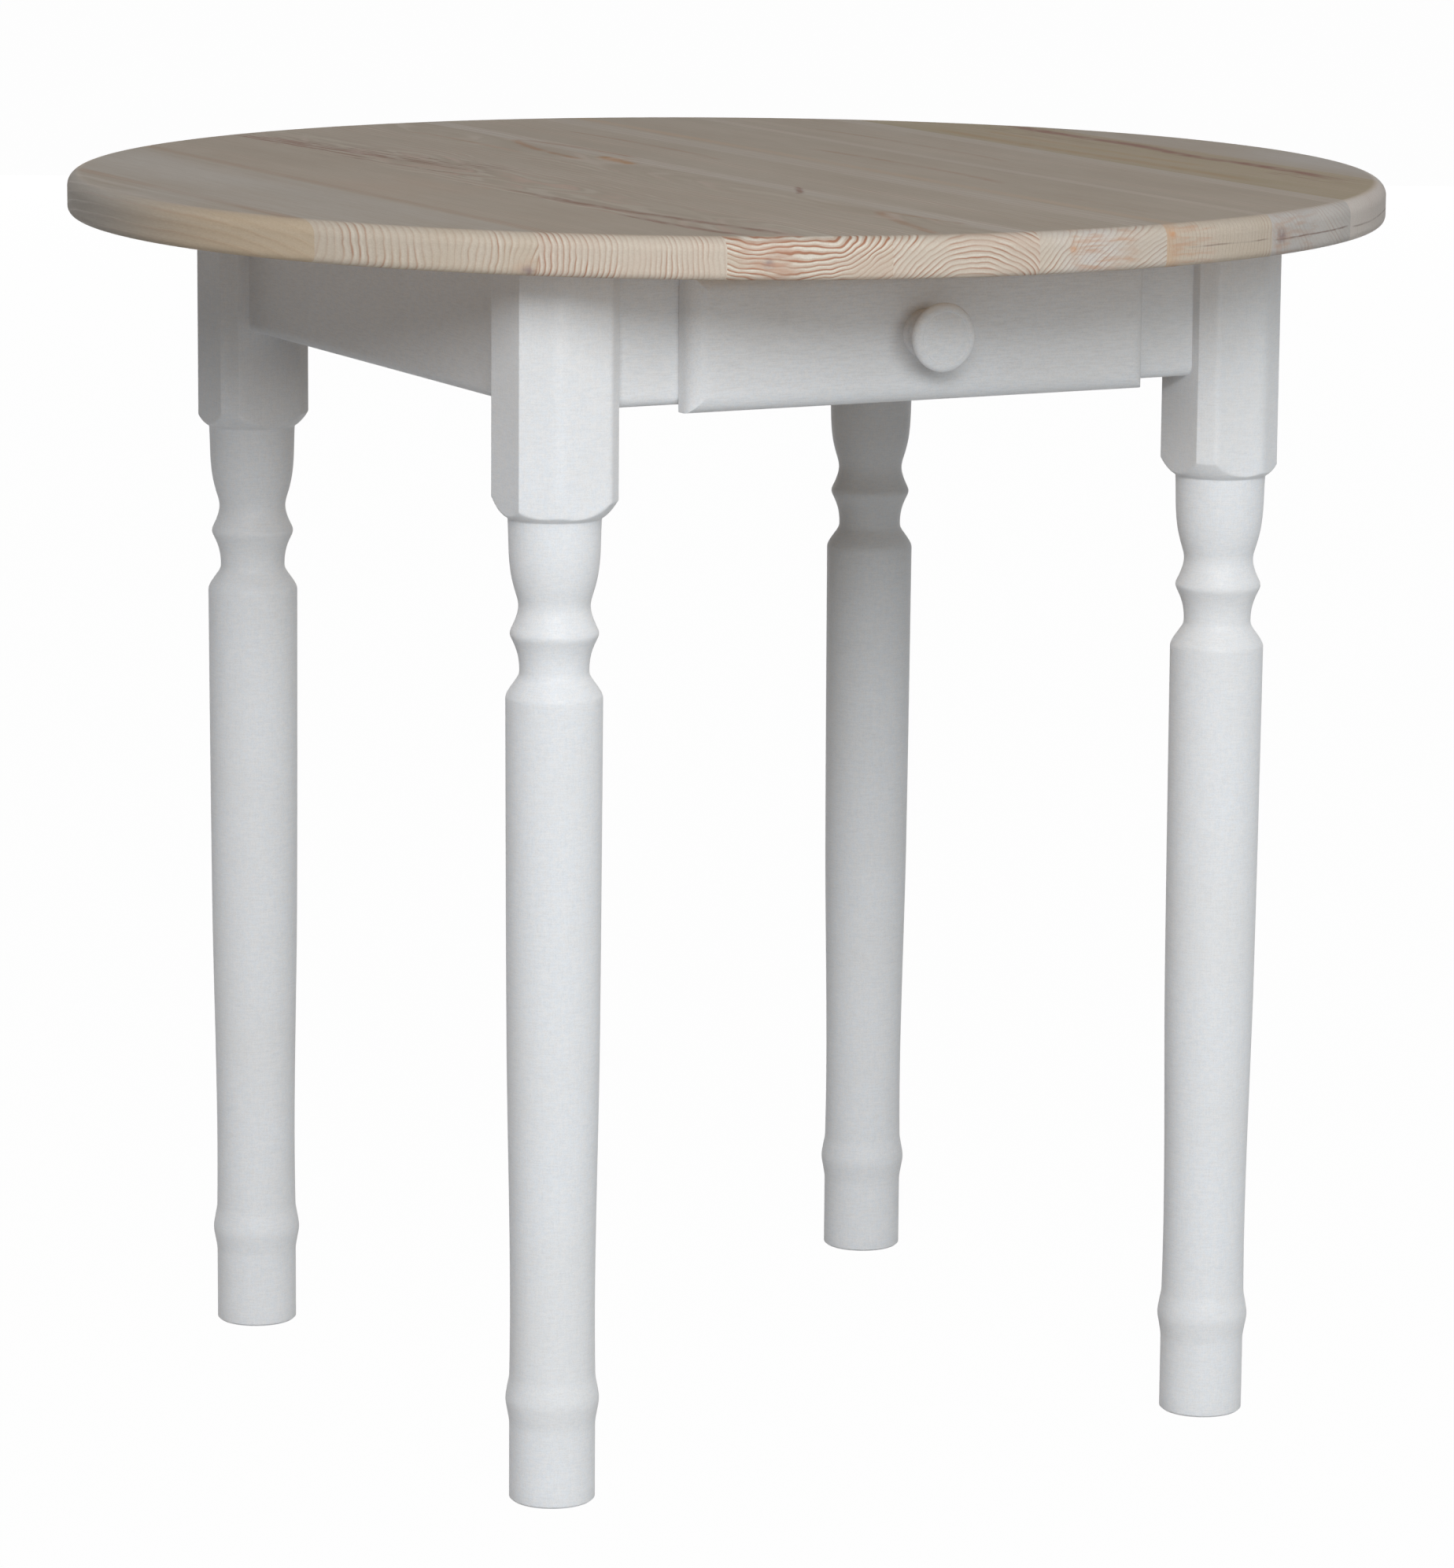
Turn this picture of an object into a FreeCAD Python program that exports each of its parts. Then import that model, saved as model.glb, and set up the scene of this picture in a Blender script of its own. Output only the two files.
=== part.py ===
import FreeCAD, Part
import math
import os
from FreeCAD import Vector

# Round tavern table on four turned legs, with one drawer in the front apron.
# Millimetres. The origin is on the floor under the middle of the top,
# +X runs right along the front, +Y to the back and +Z up. The drawer opens along -Y.

# Table top: pine staves that run front to back, glued edge to edge and cut round.
# The full staves share evenly what the two edge staves leave.
table_height = 750.0
top_diameter = 800.0
top_thickness = 24.0
full_staves = 8
left_edge_stave = 46.0
right_edge_stave = 63.0
upper_edge_inset = 8.5
upper_edge_drop = 8.0
lower_edge_inset = 3.5
lower_edge_rise = 4.5

# Frame: leg spacing is between the leg axes.
leg_spacing_x = 442.0
leg_spacing_y = 442.0
apron_setback = 16.0
apron_thickness = 20.0
apron_height = 85.0
apron_edge_round = 7.0
apron_inner_round = 2.0

# Square block at the head of each leg.
block_width = 60.0
block_length = 136.0
outer_corner_side = 14.5
outer_corner_front = 18.5
outer_corner_round = 14.0
side_corner_chamfer = 8.5
inner_corner_chamfer = 10.0

# Turned part of each leg. Heights are from the floor, drops are from the block's lower corners.
foot_diameter = 50.2
foot_height = 45.5
foot_bevel = 1.5
foot_bead_diameter = 54.7
foot_bead_height = 30.0
shaft_foot_diameter = 50.2
shaft_head_diameter = 56.0
shaft_swell = 0.6
shoulder_drop = 11.0
shoulder_bulge = 1.1
vase_drop = 50.5
vase_head_diameter = 53.8
vase_knee_diameter = 50.4
vase_knee_rise = 19.5
upper_neck_diameter = 41.4
bead_diameter = 51.0
bead_drop = 16.0
bead_tip_half = 2.6
bead_tip_depth = 0.87
bead_flank_share = 0.25
lower_neck_diameter = 40.1
lower_neck_drop = 21.5
shaft_cone_drop = 15.0
neck_round_drop = 3.0
neck_round_width = 0.75

# Drawer opening in the front apron, closed in by a rail below, a rail above and two stiles.
opening_width = 248.0
lower_rail_height = 14.0
upper_rail_height = 14.0

# Corner braces with one hanger bolt each.
brace_thickness = 18.0
brace_gap = 2.0
brace_height = 50.0
bolt_radius = 4.0
bolt_in_leg = 38.0
bolt_spare = 4.0
washer_radius = 10.0
washer_thickness = 1.6
nut_width = 13.0
nut_height = 6.5
nut_bevel = 0.8
bolt_clearance = 0.6
bolt_bevel = 0.8
bolt_point = 8.0
washer_play = 0.3

# Wood screws with a pan head. Head, shank and length by size.
screw_shank_radius = 1.9
screw_head_radius = 3.7
screw_head_height = 2.4
screw_rim_height = 0.7
screw_tip = 4.0
brace_screw_length = 24.0
brace_screw_seat = 9.0
brace_screw_spread = 26.0
strip_screw_length = 28.0
bracket_screw_length = 14.0
front_screw_length = 24.0
catch_screw_length = 14.0
hole_gap = 0.15

# Steel angle brackets between the aprons and the top.
bracket_width = 28.0
bracket_leaf = 18.0
bracket_sheet = 2.0
side_bracket_spread = 190.0
back_bracket_spread = 150.0

# Wooden strips that carry and guide the drawer.
runner_width = 32.0
runner_height = 12.0
runner_housing = 5.0
guide_width = 14.0
guide_height = 18.0
kicker_width = 32.0
kicker_gap = 1.0
strip_screw_inset = 75.0
stop_width = 20.0
guide_end_gap = 2.0

# Drawer box with an overlay front.
drawer_travel = 250.0
slide_gap = 0.3
side_play = 1.0
box_length = 372.0
box_height = 52.5
box_board = 12.0
bottom_thickness = 4.0
bottom_groove = 5.0
bottom_rise = 8.0
tails = 3
tail_slope = 2.0
front_width = 300.0
front_height = 80.5
front_thickness = 17.0
front_hang = 3.5
front_edge_round = 10.5
front_screw_x = 95.0
front_screw_z = 13.0
catch_width = 16.0
catch_thickness = 8.0
catch_rise = 8.0
catch_below = 22.0
catch_pivot_gap = 0.1
pin_radius = 0.9
pin_length = 22.0
pin_head_radius = 1.8
pin_head_height = 0.45
pin_point = 2.7
bottom_pin_spread = 80.0

# Turned knob, held by one screw from inside the drawer.
knob_diameter = 40.0
knob_stand = 28.0
knob_base_diameter = 28.0
knob_base_height = 3.0
knob_neck_diameter = 17.0
knob_neck_height = 8.0
knob_neck_length = 3.0
knob_head_height = 19.0
knob_under_round = 4.0
knob_face_round = 4.5
knob_face_crown = 1.2
knob_groove = 0.6
knob_screw_radius = 2.0
knob_screw_depth = 18.0
knob_screw_head_radius = 4.2
knob_screw_head_height = 3.2
knob_washer_radius = 7.0
knob_washer_thickness = 1.2

# Places worked out from the sizes above.
underside_z = table_height - top_thickness
top_radius = top_diameter / 2
leg_x = leg_spacing_x / 2
leg_y = leg_spacing_y / 2
half_block = block_width / 2
outer_x = leg_x + half_block - apron_setback
outer_y = leg_y + half_block - apron_setback
inner_x = outer_x - apron_thickness
inner_y = outer_y - apron_thickness
leg_inside_x = leg_x - half_block
leg_inside_y = leg_y - half_block
apron_z = underside_z - apron_height
opening_z = apron_z + lower_rail_height
opening_top_z = underside_z - upper_rail_height
half_opening = opening_width / 2
corner_z = underside_z - block_length
shoulder_z = corner_z - shoulder_drop
box_half = half_opening - side_play
box_z = opening_z + slide_gap
box_top_z = box_z + box_height
front_back_y = -outer_y - slide_gap
front_face_y = front_back_y - front_thickness
box_end_y = front_back_y + box_length
front_z = apron_z - front_hang
front_top_z = front_z + front_height
knob_z = front_z + front_height / 2
kicker_z = box_top_z + kicker_gap
guide_x = box_half + slide_gap
strip_out_x = guide_x + guide_width
brace_z = opening_z + (opening_top_z - opening_z - brace_height) / 2
brace_mid_z = brace_z + brace_height / 2
bottom_z = box_z + bottom_rise
back_z = bottom_z + bottom_thickness
catch_y = box_end_y - box_board - catch_thickness
stop_back_y = catch_y - drawer_travel - slide_gap
stop_y = stop_back_y - stop_width / 2

UP = Vector(0, 0, 1)
DOWN = Vector(0, 0, -1)
SQUARE_ROUND = 0.5523
SQUARE_DIAGONAL = math.sqrt(2)
SAME_PLACE = 0.001


def box(x0, x1, y0, y1, z0, z1):
    """A block between two corners."""
    return Part.makeBox(x1 - x0, y1 - y0, z1 - z0, Vector(x0, y0, z0))


def pair(make):
    """A left piece and its mirror image on the right."""
    left = make()
    return left, left.mirror(Vector(0, 0, 0), Vector(1, 0, 0))


def save(name, shape):
    """Write one named piece, or one group of like pieces."""
    shape.exportStep("parts/" + name + ".step")


def line(a, b):
    return Part.LineSegment(a, b).toShape()


def arc(a, middle, b):
    return Part.Arc(a, middle, b).toShape()


def rounded(a, corner, b):
    """A quarter of an ellipse that leaves a towards the corner and arrives at b."""
    curve = Part.BezierCurve()
    curve.setPoles([a, a + (corner - a) * SQUARE_ROUND, b + (corner - b) * SQUARE_ROUND, b])
    return curve.toShape()


def smooth(points, start, end):
    """A fair curve through the points with the given end directions."""
    curve = Part.BSplineCurve()
    curve.interpolate(Points=points, InitialTangent=start, FinalTangent=end)
    return curve.toShape()


def turned(edges):
    """A solid of revolution about Z from an outline in the XZ plane that ends on the axis."""
    first = edges[0].Vertexes[0].Point
    last = edges[-1].Vertexes[-1].Point
    outline = Part.Wire(edges + [line(last, first)])
    return Part.Face(outline).revolve(Vector(0, 0, 0), UP, 360)


def turned_steps(points):
    """A turned solid whose outline is straight from point to point, each (radius, height)."""
    corners = [Vector(radius, 0, height) for radius, height in points]
    return turned([line(a, b) for a, b in zip(corners, corners[1:])])


def placed(shape, point, direction):
    """The shape with its own origin at the point and its own +Z along the direction."""
    result = shape.copy()
    result.Placement = FreeCAD.Placement(point, FreeCAD.Rotation(UP, direction))
    return result


def bore(radius, depth, point, direction):
    """The material that a drilled hole removes, from the point inwards."""
    return placed(Part.makeCylinder(radius, depth), point, direction)


def screw(length, point, direction):
    """A pan-head screw whose head sits on the surface at the point."""
    rim = Vector(screw_head_radius, 0, -screw_rim_height)
    dome = rounded(Vector(0, 0, -screw_head_height),
                   Vector(screw_head_radius, 0, -screw_head_height), rim)
    corners = [rim,
               Vector(screw_head_radius, 0, 0),
               Vector(screw_shank_radius, 0, 0),
               Vector(screw_shank_radius, 0, length - screw_tip),
               Vector(0, 0, length)]
    body = turned([dome] + [line(a, b) for a, b in zip(corners, corners[1:])])
    return placed(body, point, direction)


def screw_hole(length, point, direction):
    """The hole that a screw of this length leaves in the wood."""
    return bore(screw_shank_radius + hole_gap, length + hole_gap, point, direction)


# ---- where the screws go: lists of (point, direction) ----

def strip_screw_places():
    """Screws that go up through the kickers and the stop into the top, clear of the drawer's sides."""
    x = guide_x + guide_width / 2
    places = []
    for side in (-1, 1):
        for y in (strip_screw_inset - inner_y, inner_y - strip_screw_inset):
            places.append((Vector(side * x, y, kicker_z), UP))
        places.append((Vector(side * half_opening / 2, stop_y, kicker_z), UP))
    return places


def rail_screw_places():
    """Screws that go up through the upper front rail into the top."""
    y = -outer_y + apron_thickness / 2
    return [(Vector(side * half_opening / 2, y, opening_top_z), UP) for side in (-1, 1)]


def bracket_places():
    """Corner line of each steel bracket and the direction in which it faces."""
    places = []
    for side in (-1, 1):
        places.append((Vector(-inner_x, side * side_bracket_spread / 2, underside_z), Vector(1, 0, 0)))
        places.append((Vector(inner_x, side * side_bracket_spread / 2, underside_z), Vector(-1, 0, 0)))
        places.append((Vector(side * back_bracket_spread / 2, inner_y, underside_z), Vector(0, -1, 0)))
    return places


def bracket_screw_places():
    """For each bracket one screw into the apron and one up into the top."""
    reach = bracket_leaf / 2 + bracket_sheet / 2
    places = []
    for corner, facing in bracket_places():
        places.append((corner + facing * bracket_sheet + DOWN * reach, facing * -1))
        places.append((corner + facing * reach + DOWN * bracket_sheet, UP))
    return places


def brace_corner(side_x, side_y):
    """Where the inner faces of two aprons meet, and the diagonal that points to the leg."""
    corner = Vector(side_x * inner_x, side_y * inner_y, 0)
    outward = Vector(side_x, side_y, 0).normalize()
    return corner, outward


def brace_offset():
    """Distance from the apron corner to the brace's outer face, along the diagonal."""
    chamfer = (inner_x - leg_inside_x) + (inner_y - leg_inside_y) + inner_corner_chamfer
    return chamfer / SQUARE_DIAGONAL + brace_gap


def brace_screw_places(side_x, side_y):
    """Two screws into each apron. Each head sits at the bottom of a counterbore."""
    corner, outward = brace_corner(side_x, side_y)
    reach = (brace_offset() + brace_thickness / 2) * SQUARE_DIAGONAL
    places = []
    for z in (brace_mid_z - brace_screw_spread / 2, brace_mid_z + brace_screw_spread / 2):
        along_x = Vector(corner.x - side_x * reach, corner.y - side_y * brace_screw_seat, z)
        along_y = Vector(corner.x - side_x * brace_screw_seat, corner.y - side_y * reach, z)
        places.append((along_x, Vector(0, side_y, 0)))
        places.append((along_y, Vector(side_x, 0, 0)))
    return places


def front_screw_places():
    """Screws through the box front into the overlay front."""
    y = front_back_y + box_board
    middle = (back_z + box_top_z) / 2
    return [(Vector(sx * front_screw_x, y, middle + sz * front_screw_z), Vector(0, -1, 0))
            for sx in (-1, 1) for sz in (-1, 1)]


def catch_screw_place():
    """The screw on which the catch turns, at the inside of the drawer back."""
    return Vector(0, catch_y, box_top_z - catch_below / 2), Vector(0, 1, 0)


def screws(length, places):
    return Part.makeCompound([screw(length, point, direction) for point, direction in places])


def drilled(shape, length, places):
    """The shape with the holes of these screws, where they reach it."""
    for point, direction in places:
        shape = shape.cut(screw_hole(length, point, direction))
    return shape


# ---- table top ----

def top_blank():
    """The whole round top: an upright rim with a wide round above and a small one below."""
    rim_foot = underside_z + lower_edge_rise
    rim_head = table_height - upper_edge_drop
    edges = [
        line(Vector(0, 0, underside_z), Vector(top_radius - lower_edge_inset, 0, underside_z)),
        rounded(Vector(top_radius - lower_edge_inset, 0, underside_z), Vector(top_radius, 0, underside_z),
                Vector(top_radius, 0, rim_foot)),
        line(Vector(top_radius, 0, rim_foot), Vector(top_radius, 0, rim_head)),
        rounded(Vector(top_radius, 0, rim_head), Vector(top_radius, 0, table_height),
                Vector(top_radius - upper_edge_inset, 0, table_height)),
        line(Vector(top_radius - upper_edge_inset, 0, table_height), Vector(0, 0, table_height)),
    ]
    return turned(edges)


def stave_joints():
    """The glue lines between the two edge staves and the even full staves, with both edges of the top."""
    stave_width = (top_diameter - left_edge_stave - right_edge_stave) / full_staves
    first = left_edge_stave - top_radius
    inner = [first + number * stave_width for number in range(full_staves + 1)]
    return [-top_radius] + inner + [top_radius]


def save_top():
    blank = top_blank()
    blank = drilled(blank, strip_screw_length, strip_screw_places())
    blank = drilled(blank, strip_screw_length, rail_screw_places())
    blank = drilled(blank, bracket_screw_length, bracket_screw_places())
    joints = stave_joints()
    for number, (left, right) in enumerate(zip(joints, joints[1:]), 1):
        strip = box(left, right, -top_radius, top_radius, underside_z, table_height)
        save("top_stave_%02d" % number, blank.common(strip))


# ---- legs ----

def leg_outline():
    """The turned outline from the floor to just above the block's lower corners."""
    foot = foot_diameter / 2
    bead_z = foot_height + foot_bead_height / 2
    shaft_z = foot_height + foot_bead_height
    shaft_foot = shaft_foot_diameter / 2
    shaft_head = shaft_head_diameter / 2
    upper_neck_z = shoulder_z - vase_drop
    bead_tip_z = upper_neck_z - bead_drop
    lower_neck_z = bead_tip_z - lower_neck_drop
    shaft_top_z = lower_neck_z - shaft_cone_drop
    lower_neck = lower_neck_diameter / 2
    upper_neck = upper_neck_diameter / 2
    tip = bead_diameter / 2
    knee = vase_knee_diameter / 2
    vase = vase_head_diameter / 2
    reach = math.hypot(half_block, half_block - side_corner_chamfer) + shoulder_bulge
    side_of_tip = tip - bead_tip_depth
    lower_flank = lower_neck + (side_of_tip - lower_neck) * bead_flank_share
    upper_flank = upper_neck + (side_of_tip - upper_neck) * bead_flank_share
    neck_round = Vector(lower_neck + neck_round_width, 0, lower_neck_z - neck_round_drop)
    quarter_bead = (foot + foot_bead_diameter / 2) / 2
    return [
        line(Vector(0, 0, 0), Vector(foot - foot_bevel, 0, 0)),
        line(Vector(foot - foot_bevel, 0, 0), Vector(foot, 0, foot_bevel)),
        line(Vector(foot, 0, foot_bevel), Vector(foot, 0, foot_height)),
        smooth([Vector(foot, 0, foot_height),
                Vector(quarter_bead, 0, (foot_height + bead_z) / 2),
                Vector(foot_bead_diameter / 2, 0, bead_z),
                Vector(quarter_bead, 0, (shaft_z + bead_z) / 2),
                Vector(shaft_foot, 0, shaft_z)], UP, UP),
        arc(Vector(shaft_foot, 0, shaft_z),
            Vector((shaft_foot + shaft_head) / 2 + shaft_swell, 0, (shaft_z + shaft_top_z) / 2),
            Vector(shaft_head, 0, shaft_top_z)),
        line(Vector(shaft_head, 0, shaft_top_z), neck_round),
        smooth([neck_round,
                Vector(lower_neck, 0, lower_neck_z),
                Vector(lower_flank, 0, (lower_neck_z + bead_tip_z) / 2),
                Vector(side_of_tip, 0, bead_tip_z - bead_tip_half)],
               Vector(lower_neck - shaft_head, 0, shaft_cone_drop),
               Vector(side_of_tip - lower_neck, 0, lower_neck_drop / 2)),
        arc(Vector(side_of_tip, 0, bead_tip_z - bead_tip_half), Vector(tip, 0, bead_tip_z),
            Vector(side_of_tip, 0, bead_tip_z + bead_tip_half)),
        smooth([Vector(side_of_tip, 0, bead_tip_z + bead_tip_half),
                Vector(upper_flank, 0, (upper_neck_z + bead_tip_z + bead_tip_half) / 2),
                Vector(upper_neck, 0, upper_neck_z),
                Vector((upper_neck + knee) / 2, 0, upper_neck_z + vase_knee_rise / 2),
                Vector(knee, 0, upper_neck_z + vase_knee_rise),
                Vector(vase, 0, shoulder_z)],
               Vector(upper_neck - side_of_tip, 0, bead_drop / 2), UP),
        arc(Vector(vase, 0, shoulder_z),
            Vector((vase + reach) / 2 + shoulder_bulge, 0, (shoulder_z + corner_z) / 2 - shoulder_bulge),
            Vector(reach, 0, corner_z + shoulder_bulge)),
        line(Vector(reach, 0, corner_z + shoulder_bulge), Vector(reach, 0, underside_z)),
        line(Vector(reach, 0, underside_z), Vector(0, 0, underside_z)),
    ]


def leg_section():
    """Upright stock of the front left leg: four chamfered corners, the outer one eased to the front."""
    side = side_corner_chamfer
    inner = inner_corner_chamfer
    w = half_block
    stock = box(-w, w, -w, w, 0, underside_z)
    for x, y, cut_x, cut_y in ((-w, -w, outer_corner_front, outer_corner_side), (w, w, inner, inner),
                               (-w, w, side, side), (w, -w, side, side)):
        corner = Vector(x, y, 0)
        along_x = Vector(x - math.copysign(cut_x, x), y, 0)
        along_y = Vector(x, y - math.copysign(cut_y, y), 0)
        wedge = Part.Face(Part.makePolygon([corner, along_x, along_y, corner])).extrude(UP * underside_z)
        stock = stock.cut(wedge)
    edge = [e for e in stock.Edges if abs(e.Length - underside_z) < SAME_PLACE
            and abs(e.CenterOfMass.x - outer_corner_front + w) < SAME_PLACE
            and abs(e.CenterOfMass.y + w) < SAME_PLACE]
    stock = stock.makeFillet(outer_corner_round, edge)
    return stock


def front_left_leg():
    """Turned below and square above, with the pilot hole of the hanger bolt."""
    leg = turned(leg_outline()).common(leg_section())
    mouth = Vector(half_block - inner_corner_chamfer / 2, half_block - inner_corner_chamfer / 2, brace_mid_z)
    leg = leg.cut(bore(bolt_radius + hole_gap, bolt_in_leg + hole_gap, mouth, Vector(-1, -1, 0)))
    leg.translate(Vector(-leg_x, -leg_y, 0))
    return leg


def save_legs():
    front_left = front_left_leg()
    front_right = front_left.mirror(Vector(0, 0, 0), Vector(1, 0, 0))
    save("leg_front_left", front_left)
    save("leg_front_right", front_right)
    save("leg_back_left", front_left.mirror(Vector(0, 0, 0), Vector(0, 1, 0)))
    save("leg_back_right", front_right.mirror(Vector(0, 0, 0), Vector(0, 1, 0)))


# ---- aprons, rails and stiles ----

def edged_board(length, thickness, z0, z1, outer_round, inner_round):
    """A board on edge along X whose outer face is at y = 0, with its lower edges rounded."""
    edges = [
        line(Vector(0, 0, z1), Vector(0, thickness, z1)),
        line(Vector(0, thickness, z1), Vector(0, thickness, z0 + inner_round)),
        rounded(Vector(0, thickness, z0 + inner_round), Vector(0, thickness, z0),
                Vector(0, thickness - inner_round, z0)),
        line(Vector(0, thickness - inner_round, z0), Vector(0, outer_round, z0)),
        rounded(Vector(0, outer_round, z0), Vector(0, 0, z0), Vector(0, 0, z0 + outer_round)),
        line(Vector(0, 0, z0 + outer_round), Vector(0, 0, z1)),
    ]
    board = Part.Face(Part.Wire(edges)).extrude(Vector(length, 0, 0))
    board.translate(Vector(-length / 2, 0, 0))
    return board


def all_brace_screw_places():
    return [place for side_x in (-1, 1) for side_y in (-1, 1) for place in brace_screw_places(side_x, side_y)]


def fastened(shape):
    """An apron piece with the holes of the brace screws and the bracket screws."""
    shape = drilled(shape, brace_screw_length, all_brace_screw_places())
    return drilled(shape, bracket_screw_length, bracket_screw_places())


def runner_strips():
    """The two strips under the drawer's sides, let into the front rail and the back apron."""
    return pair(lambda: box(-strip_out_x, -strip_out_x + runner_width,
                            -inner_y - runner_housing, inner_y + runner_housing,
                            opening_z - runner_height, opening_z))


def save_frame():
    side = edged_board(2 * leg_inside_y, apron_thickness, apron_z, underside_z,
                       apron_edge_round, apron_inner_round)
    side.rotate(Vector(0, 0, 0), UP, -90)
    side.translate(Vector(-outer_x, 0, 0))
    save("apron_left", fastened(side))
    save("apron_right", fastened(side.mirror(Vector(0, 0, 0), Vector(1, 0, 0))))

    back = edged_board(2 * leg_inside_x, apron_thickness, apron_z, underside_z,
                       apron_edge_round, apron_inner_round)
    back.rotate(Vector(0, 0, 0), UP, 180)
    back.translate(Vector(0, outer_y, 0))
    lower = edged_board(2 * leg_inside_x, apron_thickness, apron_z, opening_z,
                        apron_edge_round, apron_inner_round)
    lower.translate(Vector(0, -outer_y, 0))
    for strip in runner_strips():
        back = back.cut(strip)
        lower = lower.cut(strip)
    save("apron_back", fastened(back))
    save("front_rail_lower", lower)

    upper = box(-leg_inside_x, leg_inside_x, -outer_y, -inner_y, opening_top_z, underside_z)
    save("front_rail_upper", drilled(upper, strip_screw_length, rail_screw_places()))
    left, right = pair(lambda: box(-leg_inside_x, -half_opening, -outer_y, -inner_y, opening_z, opening_top_z))
    save("front_stile_left", fastened(left))
    save("front_stile_right", fastened(right))


# ---- corner braces and hanger bolts ----

def brace(side_x, side_y):
    """A block across the corner, mitred to lie against both aprons."""
    corner, outward = brace_corner(side_x, side_y)
    near = brace_offset() * SQUARE_DIAGONAL
    far = (brace_offset() + brace_thickness) * SQUARE_DIAGONAL
    points = [Vector(corner.x - side_x * near, corner.y, brace_z),
              Vector(corner.x - side_x * far, corner.y, brace_z),
              Vector(corner.x, corner.y - side_y * far, brace_z),
              Vector(corner.x, corner.y - side_y * near, brace_z)]
    block = Part.Face(Part.makePolygon(points + points[:1])).extrude(UP * brace_height)
    start = corner - outward * (brace_offset() + brace_thickness) + UP * brace_mid_z
    block = block.cut(bore(bolt_radius + bolt_clearance, brace_thickness, start, outward))
    for point, direction in brace_screw_places(side_x, side_y):
        pocket = bore(screw_head_radius + bolt_clearance, far - near, point, direction * -1)
        block = block.cut(pocket)
        block = block.cut(screw_hole(brace_screw_length, point, direction))
    return block


def hanger_bolt(side_x, side_y):
    """The bolt, its washer and its nut, on the diagonal of one corner."""
    corner, outward = brace_corner(side_x, side_y)
    seat = corner - outward * (brace_offset() + brace_thickness) + UP * brace_mid_z
    inward = outward * -1
    in_wood = brace_thickness + brace_gap + bolt_in_leg
    past_wood = washer_thickness + nut_height + bolt_spare
    tail = seat + inward * past_wood
    length = in_wood + past_wood
    bolt = turned_steps([(0, 0), (bolt_radius - bolt_bevel, 0), (bolt_radius, bolt_bevel),
                         (bolt_radius, length - bolt_point), (bolt_bevel, length), (0, length)])
    ring = Part.makeCylinder(washer_radius, washer_thickness).cut(
        Part.makeCylinder(bolt_radius + washer_play, washer_thickness))
    hole = bolt_radius + hole_gap
    across = nut_width / 2 / math.cos(math.pi / 6)
    corners = [Vector(across * math.cos(k * math.pi / 3), across * math.sin(k * math.pi / 3), 0)
               for k in range(7)]
    hexagon = Part.Face(Part.makePolygon(corners)).extrude(UP * nut_height)
    barrel = turned_steps([(0, 0), (across - nut_bevel, 0), (across, nut_bevel),
                           (across, nut_height - nut_bevel), (across - nut_bevel, nut_height), (0, nut_height)])
    nut = hexagon.common(barrel).cut(Part.makeCylinder(hole, nut_height))
    return (placed(bolt, tail, outward), placed(ring, seat, inward),
            placed(nut, seat + inward * washer_thickness, inward))


def save_braces():
    names = {(-1, -1): "front_left", (1, -1): "front_right", (-1, 1): "back_left", (1, 1): "back_right"}
    hardware = [hanger_bolt(side_x, side_y) for side_x, side_y in names]
    for (side_x, side_y), name in names.items():
        save("corner_brace_" + name, brace(side_x, side_y))
    save("hanger_bolts", Part.makeCompound([bolt for bolt, ring, nut in hardware]))
    save("hanger_washers", Part.makeCompound([ring for bolt, ring, nut in hardware]))
    save("hanger_nuts", Part.makeCompound([nut for bolt, ring, nut in hardware]))
    save("brace_screws", screws(brace_screw_length, all_brace_screw_places()))


# ---- brackets that hold the top ----

def bracket(corner, facing):
    """A bent steel angle in the corner between an apron and the top."""
    along = facing.cross(UP)
    start = corner - along * (bracket_width / 2)
    outline = [start, start + facing * bracket_leaf, start + facing * bracket_leaf + DOWN * bracket_sheet,
               start + facing * bracket_sheet + DOWN * bracket_sheet,
               start + facing * bracket_sheet + DOWN * bracket_leaf, start + DOWN * bracket_leaf, start]
    angle = Part.Face(Part.makePolygon(outline)).extrude(along * bracket_width)
    reach = bracket_leaf / 2 + bracket_sheet / 2
    hole = screw_shank_radius + washer_play
    angle = angle.cut(bore(hole, bracket_sheet, corner + DOWN * reach, facing))
    return angle.cut(bore(hole, bracket_sheet, corner + facing * reach, DOWN))


def save_brackets():
    save("top_brackets", Part.makeCompound([bracket(corner, facing) for corner, facing in bracket_places()]))
    save("bracket_screws", screws(bracket_screw_length, bracket_screw_places()))
    save("rail_screws", screws(strip_screw_length, rail_screw_places()))


# ---- runners, guides, kickers and stop ----

def guide_end():
    """How far the guides reach along Y before they would meet the corner braces."""
    brace_reach = (brace_offset() + brace_thickness) * SQUARE_DIAGONAL
    room = brace_reach - (inner_x - strip_out_x)
    return inner_y - max(room, 0) - guide_end_gap


def save_strips():
    left, right = runner_strips()
    save("runner_left", left)
    save("runner_right", right)
    left, right = pair(lambda: box(-strip_out_x, -guide_x, -guide_end(), guide_end(),
                                   opening_z, opening_z + guide_height))
    save("guide_left", left)
    save("guide_right", right)
    left, right = pair(lambda: box(-strip_out_x, -strip_out_x + kicker_width, -inner_y, inner_y,
                                   kicker_z, underside_z))
    save("kicker_left", drilled(left, strip_screw_length, strip_screw_places()))
    save("kicker_right", drilled(right, strip_screw_length, strip_screw_places()))
    reach = strip_out_x - kicker_width
    stop = box(-reach, reach, stop_y - stop_width / 2, stop_y + stop_width / 2, kicker_z, underside_z)
    save("drawer_stop", drilled(stop, strip_screw_length, strip_screw_places()))
    save("strip_screws", screws(strip_screw_length, strip_screw_places()))


# ---- drawer ----

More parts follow.
